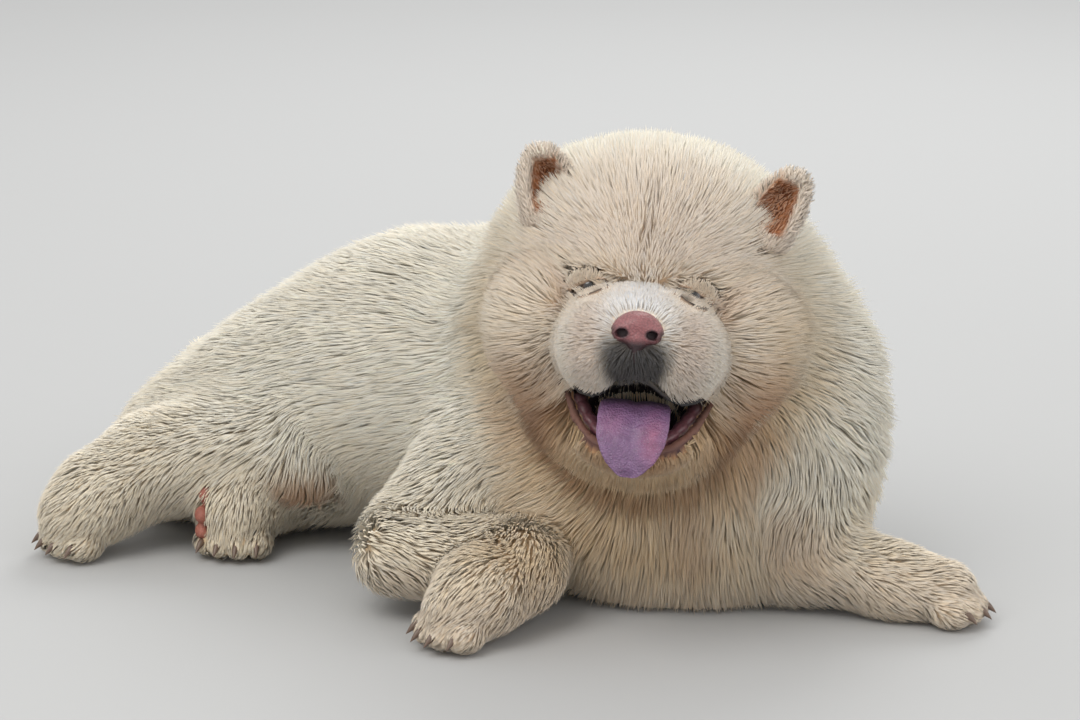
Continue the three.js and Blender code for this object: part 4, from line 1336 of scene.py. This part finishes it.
# Feet
def claw_rings(centre, axes, radius):
    """Rings of one blunt claw that bends down to the floor in front of its toe."""
    rings = []
    for t in np.linspace(0, 1, 9):
        r = 3.3 * (1 - t**2.2) + 0.25
        ahead = radius * 1.12 + 9.5 * t
        drop = 1.2 - 6.5 * t**1.7
        turn = np.linspace(0, 2 * math.pi, 12, endpoint=False)
        side = np.outer(np.cos(turn) * r * 0.72, axes[1])
        rise = np.outer(np.sin(turn) * r, axes[2])
        ring = centre + axes[0] * ahead + axes[2] * drop + side + rise
        ring[:, 2] = np.maximum(ring[:, 2], 0.4)
        rings.append(ring)
    return rings


class CHOW_OT_feet(bpy.types.Operator):
    """Models the claws and the pads of the foot that shows its sole"""

    bl_idname = "chow.feet"
    bl_label = "Claws and pads"

    def execute(self, context):
        colours = palette()
        claws = []
        for paw in PAWS:
            for centre, axes, radius in toe_places(paw):
                points, faces = ringed(claw_rings(centre, axes, radius))
                claws.append(mesh_piece("claw", points, faces))
        piece = joined_pieces(claws, "claws")
        facing_out(piece)
        store(piece, "Shade", np.full(len(piece.data.vertices), 0.35))
        horn = leather_finish("claw_horn", colours["claw"], colours["claw"] * 0.4, 500, 0.0001, 0.35, 0.2)
        finished(piece, horn, "face")
        pads = []
        for place, radii in PADS:
            pads.append(lump(place, radii, LEVEL, 20, 12))
        piece = joined_pieces(pads, "pads")
        modified(piece, "REMESH", mode="VOXEL", voxel_size=0.0014)
        modified(piece, "SMOOTH", factor=0.5, iterations=3)
        store(piece, "Shade", np.clip(0.3 + 0.4 * noise(places_of(piece), 6, 12), 0, 1))
        sole = leather_finish("sole_pads", colours["pad"], colours["pad"] * (0.4, 0.3, 0.3), 520, 0.0005, 0.6)
        finished(piece, sole, "face")
        return {"FINISHED"}


PADS = [
    ((-342, 186, 44), (7, 16, 15)),
    ((-346, 158, 52), (6, 8, 7.5)),
    ((-349, 150, 38), (6, 8, 7)),
    ((-349, 152, 24), (6, 8, 7)),
    ((-344, 164, 14), (6, 8, 7)),
]


# Coat
# For each zone: spacing, length along the lie, half width and stray tips, all in mm
ZONES = {
    "torso": (2.45, 30.0, 0.9, 3.2),
    "mane": (2.2, 36.0, 0.9, 6.0),
    "legs": (2.35, 20.0, 0.8, 1.4),
    "feet": (2.0, 8.0, 0.62, 0.5),
    "tail": (3.4, 42.0, 1.15, 5.0),
    "crown": (2.0, 20.0, 0.75, 2.4),
    "face": (1.35, 6.5, 0.46, 0.3),
}
ZONE_NAMES = list(ZONES)
ZONE_VALUES = np.array(list(ZONES.values()))
BODY_SECTIONS, EAR_SECTIONS = 2, 3
MOST_TUFTS = 19000
# For each step along a tuft: its share of the length, and of the coat's depth that is still above it
TUFT_STEPS = ((0.24, 0.62), (0.36, 0.25), (0.40, 0.0))


def zone_shares(p):
    """How much of each zone there is at each place on the skin, in the order of the zones."""
    q = head_frame(p)
    head = joined_distance(SKULL + JAW, p, 1, 10)
    short = smooth((q[:, 0] + 48 + 0.35 * np.minimum(q[:, 2], 30)) / 62)
    short = short * smooth((100 - np.abs(q[:, 1])) / 46)
    far = {
        "torso": joined_distance(TORSO, p, TRUNK_BARE, 20),
        "mane": joined_distance(MANE, p, TRUNK_BARE, 20),
        "legs": joined_distance(LIMBS, p, 0.9, 10),
        "feet": np.minimum(
            joined_distance(TOES, p, 0.9, 3),
            joined_distance([LIMBS[i] for i in (2, 3, 6, 9, 10, 12, 13)], p, 0.9, 6)),
        "tail": joined_distance(TAIL, p, TRUNK_BARE, 10),
        "crown": head,
        "face": head,
    }
    share = np.stack([np.exp(-np.maximum(far[name], 0) / 10) for name in ZONE_NAMES], -1)
    share[:, ZONE_NAMES.index("crown")] *= 1 - short
    share[:, ZONE_NAMES.index("face")] *= short
    return share / share.sum(-1, keepdims=True)


def lie_of_coat(p, share):
    """Which way the coat lies at each place."""
    q = head_frame(p)
    down_legs = limb_lie(LIMBS, p) + (0, 0, -0.25)
    ways = {
        "torso": np.tile((-0.78, 0.52, -0.34), (len(p), 1)),
        "mane": unit(p - on_head(-60, 0, 0)) - 0.7 * HEAD[0] + (0, 0, -0.55),
        "legs": down_legs,
        "feet": down_legs,
        "tail": limb_lie(TAIL, p),
        "crown": unit(p - on_head(34, 0, -34)) + (0, 0, 0.05),
        "face": unit(p - on_head(78, 0, -32)) + np.outer(smooth(np.abs(q[:, 1]) / 50), (0, 0, -0.3)),
    }
    lie = sum(unit(ways[name]) * share[:, i : i + 1] for i, name in enumerate(ZONE_NAMES))
    swirl = np.stack([noise(p, 38, seed) + noise(p, 15, seed + 5) for seed in (21, 22, 23)], -1)
    return unit(lie + 0.24 * swirl * (1 - 0.6 * share[:, -1:]))


def limb_lie(limbs, p):
    """Along the limbs near each place, from root to end."""
    weight, way = 0, 0
    for limb in limbs:
        w = np.exp(-np.maximum(limb.distance(p, 0.9), 0) / 5)[:, None]
        way = way + w * unit(limb.end - limb.start)
        weight = weight + w
    return way / np.maximum(weight, 1e-9)


def scattered_roots(skin, random, amount):
    """Roots spread over the skin: places, places on its unwrap, and zone shares."""
    corners, normals, uv, middle, area = triangles_of(skin)
    share = zone_shares(middle)
    wanted = area * (share @ (1 / ZONE_VALUES[:, 0] ** 2)) * amount
    wanted *= exposed_share(middle, normals.mean(1))
    whole = np.floor(wanted + random.random(len(area))).astype(int)
    face = np.repeat(np.arange(len(area)), whole)
    u, v = random.random(len(face)), random.random(len(face))
    over = u + v > 1
    u[over], v[over] = 1 - u[over], 1 - v[over]
    weights = np.stack([1 - u - v, u, v], -1)[..., None]
    place = (corners[face] * weights).sum(1)
    return place, (uv[face] * weights).sum(1), zone_shares(place)


def exposed_share(p, normal):
    """0 where no tuft is wanted: inside the body, in the mouth, and flat on the floor."""
    share = np.ones(len(p))
    share[body_distance(p, 1) < -3] = 0
    q = head_frame(p)
    in_head = joined_distance(SKULL + JAW, p, 1, 10) < -4
    on_body = np.abs(body_distance(p, 1)) < 2.0
    share[in_head & on_body] = 0
    close = np.linalg.norm(p - on_head(20, 0, -50), axis=-1) < 130
    bare = np.zeros(len(p))
    bare[close] = bare_share(q[close])
    share *= bare < 0.4
    lids = np.hypot((np.abs(q[:, 1]) - EYE_PLACE[1]) / 14.5, (q[:, 2] - EYE_PLACE[2]) / 9.5)
    share *= (lids > 1) | (q[:, 0] < -40)
    for place, radii in PADS:
        share[Ball(place, np.array(radii) + 1.0, 0).distance(p, 0) < 0] = 0
    share *= np.where((normal[:, 2] < -0.75) & (p[:, 2] < 30), 0.25, 1)
    return share


def grow_coat(place, share, random, clump):
    """Middle lines of the tufts: their sections' places, normals and ways, root to tip."""
    values = share @ ZONE_VALUES
    length = values[:, 1] * (0.8 + 0.4 * random.random(len(place)))
    surface = lambda p: dog_distance(p, 0)
    depth = -surface(place)
    loose = np.abs(random.standard_normal(len(place))) * 0.7 - 0.25 + 0.5 * noise(place, 26, 31)
    stray = values[:, 3] * loose
    depth = np.maximum(depth, 1.0)
    p = place.copy()
    lines, normals = [p], [slope_of(shape_distance, p, 4.0)[1]]
    for step, (part, rest) in enumerate(TUFT_STEPS):
        lie = lie_of_coat(p, share)
        here, out = slope_of(surface, p, 1.5)
        level = unit(lie - out * (lie * out).sum(-1, keepdims=True))
        p = p + level * (length * part)[:, None]
        here, out = slope_of(surface, p, 1.5)
        target = -depth * rest + (stray if step == 2 else 0)
        p = p - out * np.clip(here - target, -28, 28)[:, None]
        here, out = slope_of(surface, p, 1.5)
        p = p - out * np.clip(here - target, -6, 6)[:, None]
        p[:, 2] = np.maximum(p[:, 2], 0.6 + random.random(len(p)) * 0.8)
        lines.append(p)
        normals.append(slope_of(shape_distance, p, 4.0)[1])
    lines, normals = np.stack(lines, 1), np.stack(normals, 1)
    return clumped(lines, length, random, clump), normals


def clumped(lines, length, random, clump):
    """Leans each tuft towards the nearest of some leading tufts, most at its tip."""
    count = len(lines)
    leads = np.sort(random.choice(count, max(1, count // 14), replace=False))
    tree = kdtree.KDTree(len(leads))
    for i, root in enumerate(lines[leads, 0]):
        tree.insert(root, i)
    tree.balance()
    nearest = np.array([tree.find(root)[1] for root in lines[:, 0]])
    lead = leads[nearest]
    away = lines[:, :1] - lines[lead][:, :1]
    t = np.linspace(0, 1, lines.shape[1])[None, :, None]
    goal = lines[lead] + away * (1 - 0.7 * t)
    close = smooth(1.6 - np.linalg.norm(away[:, 0], axis=-1) / (0.45 * length + 3))[:, None, None]
    strength = clump * t**1.3 * close * (0.6 + 0.6 * random.random((count, 1, 1)))
    return lines + (goal - lines) * np.clip(strength, 0, 0.95)


def tuft_mesh(name, lines, normals, half, spots, colours, sections, softness):
    """One piece of the coat: closed, three-sided, tapered tufts along their middle lines."""
    count = len(lines)
    keep = [0, 1, 2, 3] if sections == 3 else [0, 2, 3]
    lines, normals = lines[:, keep], normals[:, keep]
    steps = len(keep) - 1
    taper = (0.75, 1.0, 0.72) if steps == 3 else (0.85, 0.9)
    rings = []
    shading = []
    for i in range(steps):
        way = unit(lines[:, i + 1] - lines[:, max(i - 1, 0)])
        out = unit(normals[:, i] - way * (normals[:, i] * way).sum(-1, keepdims=True))
        side = np.cross(out, way)
        width = (half * taper[i])[:, None]
        rings.append(np.stack([
            lines[:, i] - side * width - out * width * 0.2,
            lines[:, i] + side * width - out * width * 0.2,
            lines[:, i] + out * width * 0.62], 1))
        own = np.stack([unit(out * 0.5 - side), unit(out * 0.5 + side), out], 1)
        shading.append(own * (1 - softness) + normals[:, i : i + 1] * softness)
    rings.append(lines[:, -1:])
    shading.append(normals[:, -1:])
    points = np.concatenate(rings, 1)
    each = points.shape[1]
    local = [(0, 1, 2)]
    for i in range(steps - 1):
        a = 3 * i
        for j in range(3):
            k = (j + 1) % 3
            local += [(a + j, a + 3 + k, a + k), (a + j, a + 3 + j, a + 3 + k)]
    a = 3 * (steps - 1)
    tip = each - 1
    local += [(a + j, tip, a + (j + 1) % 3) for j in range(3)]
    local = np.array(local)[:, ::-1]
    faces = (np.arange(count)[:, None, None] * each + local).reshape(-1, 3)
    piece = mesh_piece(name, points.reshape(-1, 3), faces)
    across = np.tile((0.0, 1.0, 0.5), steps).tolist() + [0.5]
    along = np.repeat(np.linspace(0, 0.8, steps), 3).tolist() + [1.0]
    patch_uv = np.stack([across, along], -1) * 0.003 - 0.0015
    corner_uv = (spots[:, None] + patch_uv).reshape(-1, 2)[faces.ravel()]
    layer = piece.data.uv_layers.new(name="OFBake")
    layer.data.foreach_set("uv", np.clip(corner_uv, 0, 1).ravel())
    # painted shade: each tuft is darker and warmer at its root, deep in the coat, and a little lighter at its
    # tip
    shade = np.array([0.88] * 3 + [0.95] * 3 * (steps > 2) + [1.0] * 3 + [1.04])
    colour = np.clip(colours[:, None] * (1 - (1 - shade)[None, :, None] * (0.7, 1.0, 1.4)), 0, 1)
    store(piece, "Coat", colour.reshape(-1, 3), "FLOAT_COLOR")
    strand = np.empty((count, each, 3))
    strand[..., 0], strand[..., 1] = np.array(across), np.array(along)
    strand[..., 2] = (np.arange(count) * 0.618 % 1)[:, None] * 40
    made = piece.data.attributes.new("Strand", "FLOAT_VECTOR", "POINT")
    made.data.foreach_set("vector", strand.ravel())
    smooth_shaded(piece)
    if softness > 0:
        piece.data.normals_split_custom_set_from_vertices(unit(np.concatenate(shading, 1)).reshape(-1, 3))
    return piece


class CHOW_OT_coat(bpy.types.Operator):
    """Grows the coat from the skin, in tufts that follow its lie"""

    bl_idname = "chow.coat"
    bl_label = "Coat"

    def execute(self, context):
        sizes, _ = settings()
        colours = palette()
        random = np.random.default_rng(7)
        skin = bpy.data.objects["skin"]
        place, spot, share = scattered_roots(skin, random, sizes.coat_amount)
        lines, normals = grow_coat(place, share, random, sizes.coat_clump)
        values = share @ ZONE_VALUES
        half = values[:, 2] * (0.75 + 0.5 * random.random(len(place)))
        tone = 1 + 0.04 * random.standard_normal(len(place)) + 0.03 * noise(place, 12, 41)
        warm = 0.02 * random.standard_normal(len(place))
        colour = coat_colour(place, colours) * tone[:, None]
        colour = np.clip(colour * np.stack([1 + warm, np.ones_like(warm), 1 - 1.5 * warm], -1), 0, 1)
        zone = share.argmax(-1)
        material = coat_finish("coat_hair")
        tufts = {name: int((zone == i).sum()) for i, name in enumerate(ZONE_NAMES)}
        print("tufts", tufts, "triangles", 10 * len(place))
        ear_roots = [ear_hair(name, side, random, colours) for name, side in SIDES.items()]
        for index, zone_name in enumerate(ZONE_NAMES):
            chosen = np.flatnonzero(zone == index)
            order = chosen[np.argsort(place[chosen, 0])]
            for number, part in enumerate(np.array_split(order, max(1, math.ceil(len(order) / MOST_TUFTS)))):
                if len(part) == 0:
                    continue
                piece = tuft_mesh(
                    f"coat_{zone_name}_{BODY_SECTIONS}_{number + 1}", lines[part], normals[part], half[part],
                    spot[part], colour[part], BODY_SECTIONS, sizes.coat_softness)
                finished(piece, material, "coat")
        for name, roots in zip(SIDES, ear_roots):
            piece = tuft_mesh("coat_ear_" + name, *roots, EAR_SECTIONS, sizes.coat_softness)
            finished(piece, material, "ear")
        for name, side in SIDES.items():
            roots = lid_hair(name, side, random, colours)
            piece = tuft_mesh("coat_lids_" + name, *roots, BODY_SECTIONS, sizes.coat_softness)
            finished(piece, material, "face")
        return {"FINISHED"}


def roots_on(piece, random, spacing, wanted_share):
    """Roots spread over a small piece: places, normals, and places on its unwrap."""
    corners, normals, uv, middle, area = triangles_of(piece)
    wanted = area / spacing**2 * wanted_share(middle)
    face = np.repeat(np.arange(len(area)), np.floor(wanted + random.random(len(area))).astype(int))
    weights = random.dirichlet((1, 1, 1), len(face))[..., None]
    place, normal, spot = ((rows[face] * weights).sum(1) for rows in (corners, normals, uv))
    return place, unit(normal), spot


def short_hair(place, normal, lie, length, arch):
    """Middle lines of short hair that leans along its lie and arches off the skin."""
    lines = [place]
    for t in (0.33, 0.7, 1.0):
        rise = arch * length * math.sin(t * 2.2)
        lines.append(place + lie * (length * t)[:, None] + normal * rise[:, None])
    return np.stack(lines, 1), np.repeat(normal[:, None], 4, axis=1)


def ear_hair(name, side, random, colours):
    """Short hair over the back and the edges of an ear, and finer hair inside its cup."""
    ear = bpy.data.objects["ear_skin_" + name]
    place, normal, spot = roots_on(ear, random, 1.3, lambda p: 1 - 0.6 * ear_cup_share(p, side))
    inside = ear_cup_share(place, side)
    base, tip = (on_head(*end) for end in EARS[side])
    up = unit(tip - base)
    wide = across_ear(side)
    centre = base + np.outer((place - base) @ up, up)
    lie = up * 0.9 + unit(place - centre) * 0.25
    lie = np.where(inside[:, None] > 0.5, up * 0.6 + wide * side * 0.4 + HEAD[0] * 0.3, lie)
    lie = unit(lie + 0.18 * random.standard_normal((len(place), 3)))
    length = (5.5 + 2.5 * random.random(len(place))) * (1 - 0.25 * inside)
    lines, normals = short_hair(place, normal, lie, length, 0.3)
    colour = coat_colour(place, colours)
    colour = mixed(colour, colours["blush"], 0.6 * np.ones(len(place)))
    colour = mixed(colour, colours["ear"] * 1.1, inside * (0.75 + 0.25 * random.random(len(place))))
    colour = np.clip(colour * (1 + 0.07 * random.standard_normal(len(place)))[:, None], 0, 1)
    half = 0.6 * (0.7 + 0.5 * random.random(len(place)))
    return lines, normals, half, spot, colour


def lid_hair(name, side, random, colours):
    """Very short hair on the lids, lying up and away from the eye."""
    lids = bpy.data.objects["eyelids_" + name]
    middle = np.array(EYE_PLACE) * (1, side, 1)

    def off_the_rim(p):
        return smooth((slit_of(head_frame(p) - middle, side)[1] - 1.5) / 0.3)

    place, normal, spot = roots_on(lids, random, 0.85, off_the_rim)
    q = head_frame(place) - middle
    slant, ratio = slit_of(q, side)
    way = np.stack([0.1 * np.ones(len(q)), q[:, 1] * 0.35, slant * 1.6], -1)
    lie = unit(unit(way) @ HEAD + 0.15 * random.standard_normal((len(place), 3)))
    lie = unit(lie - normal * (lie * normal).sum(-1, keepdims=True) * 0.9)
    far = smooth((ratio - 1.3) / 1.2)
    length = (1.5 + 3.5 * far) * (0.8 + 0.4 * random.random(len(place)))
    lines, normals = short_hair(place, normal, lie, length, 0.2)
    tone = (0.86 + 0.16 * far + 0.05 * random.standard_normal(len(place)))[:, None]
    colour = np.clip(coat_colour(place, colours) * tone, 0, 1)
    half = 0.38 * (0.7 + 0.5 * random.random(len(place)))
    return lines, normals, half, spot, colour


# Stage
def area_light(name, place, target, size, power, colour):
    light = bpy.data.lights.new(name, "AREA")
    light.shape = "DISK"
    light.size = size
    light.energy = power
    light.color = colour
    lamp = bpy.data.objects.new(name, light)
    bpy.context.collection.objects.link(lamp)
    lamp.location = place
    lamp.rotation_euler = (Vector(target) - Vector(place)).to_track_quat("-Z", "Y").to_euler()
    return lamp


class CHOW_OT_stage(bpy.types.Operator):
    """Sets up the plain floor, the soft lights and the camera at the photograph's angle"""

    bl_idname = "chow.stage"
    bl_label = "Stage"

    def execute(self, context):
        scene = context.scene
        camera_data = bpy.data.cameras.new("camera")
        camera_data.lens = 128
        camera_data.sensor_width = 36
        camera = bpy.data.objects.new("camera", camera_data)
        context.collection.objects.link(camera)
        camera.location = to_scene((-76.8, -2801.75, 957.63))
        camera.rotation_euler = (math.radians(75), 0, 0)
        scene.camera = camera
        nothing_selected()
        bpy.ops.mesh.primitive_plane_add(size=24, location=(0, 0, 0))
        floor = context.object
        floor.name = "floor"
        bpy.ops.object.transform_apply(location=True, rotation=True, scale=True)
        floor.data.materials.append(floor_finish(palette()))
        floor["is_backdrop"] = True
        world = bpy.data.worlds.new("soft_sky")
        world.use_nodes = True
        world.node_tree.nodes["Background"].inputs[0].default_value = (1.0, 0.98, 0.95, 1)
        world.node_tree.nodes["Background"].inputs[1].default_value = 0.95
        scene.world = world
        area_light("key", (-1.3, -1.7, 2.9), (0, 0, 0.15), 2.4, 50, (1.0, 0.97, 0.92))
        area_light("fill", (2.4, -2.2, 1.5), (0, 0, 0.15), 2.6, 16, (1.0, 0.98, 0.96))
        area_light("rim", (0.6, 2.2, 2.2), (0, 0, 0.2), 1.6, 34, (1.0, 0.99, 0.97))
        scene.view_settings.view_transform = "Standard"
        return {"FINISHED"}


class CHOW_PT_panel(bpy.types.Panel):
    """Lists the dog's sizes, colours and pieces"""

    bl_label = "Lying Chow Chow"
    bl_idname = "CHOW_PT_panel"
    bl_space_type = "VIEW_3D"
    bl_region_type = "UI"
    bl_category = "Chow Chow"

    def draw(self, context):
        layout = self.layout
        for group in (context.scene.chow_sizes, context.scene.chow_colours):
            column = layout.column(align=True)
            for name in group.__annotations__:
                column.prop(group, name)
        for operator in OPERATORS:
            layout.operator(operator.bl_idname)


OPERATORS = (
    CHOW_OT_stage, CHOW_OT_skin, CHOW_OT_eyes, CHOW_OT_nose, CHOW_OT_mouth, CHOW_OT_ears, CHOW_OT_feet,
    CHOW_OT_coat)
GROUPS = (ChowSizes, ChowColours)


def register():
    for kind in (*GROUPS, *OPERATORS, CHOW_PT_panel):
        bpy.utils.register_class(kind)
    bpy.types.Scene.chow_sizes = bpy.props.PointerProperty(type=ChowSizes)
    bpy.types.Scene.chow_colours = bpy.props.PointerProperty(type=ChowColours)


def unregister():
    del bpy.types.Scene.chow_colours
    del bpy.types.Scene.chow_sizes
    for kind in reversed((*GROUPS, *OPERATORS, CHOW_PT_panel)):
        bpy.utils.unregister_class(kind)


def main():
    register()
    nothing_selected()
    for operator in OPERATORS:
        group, name = operator.bl_idname.split(".")
        getattr(getattr(bpy.ops, group), name)()
    low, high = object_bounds()
    sizes = {
        "cad": [list(map(float, corner)) for corner in CAD_BOX],
        "model": [list(map(float, corner)) for corner in (low, high)],
    }


if __name__ == "__main__":
    main()
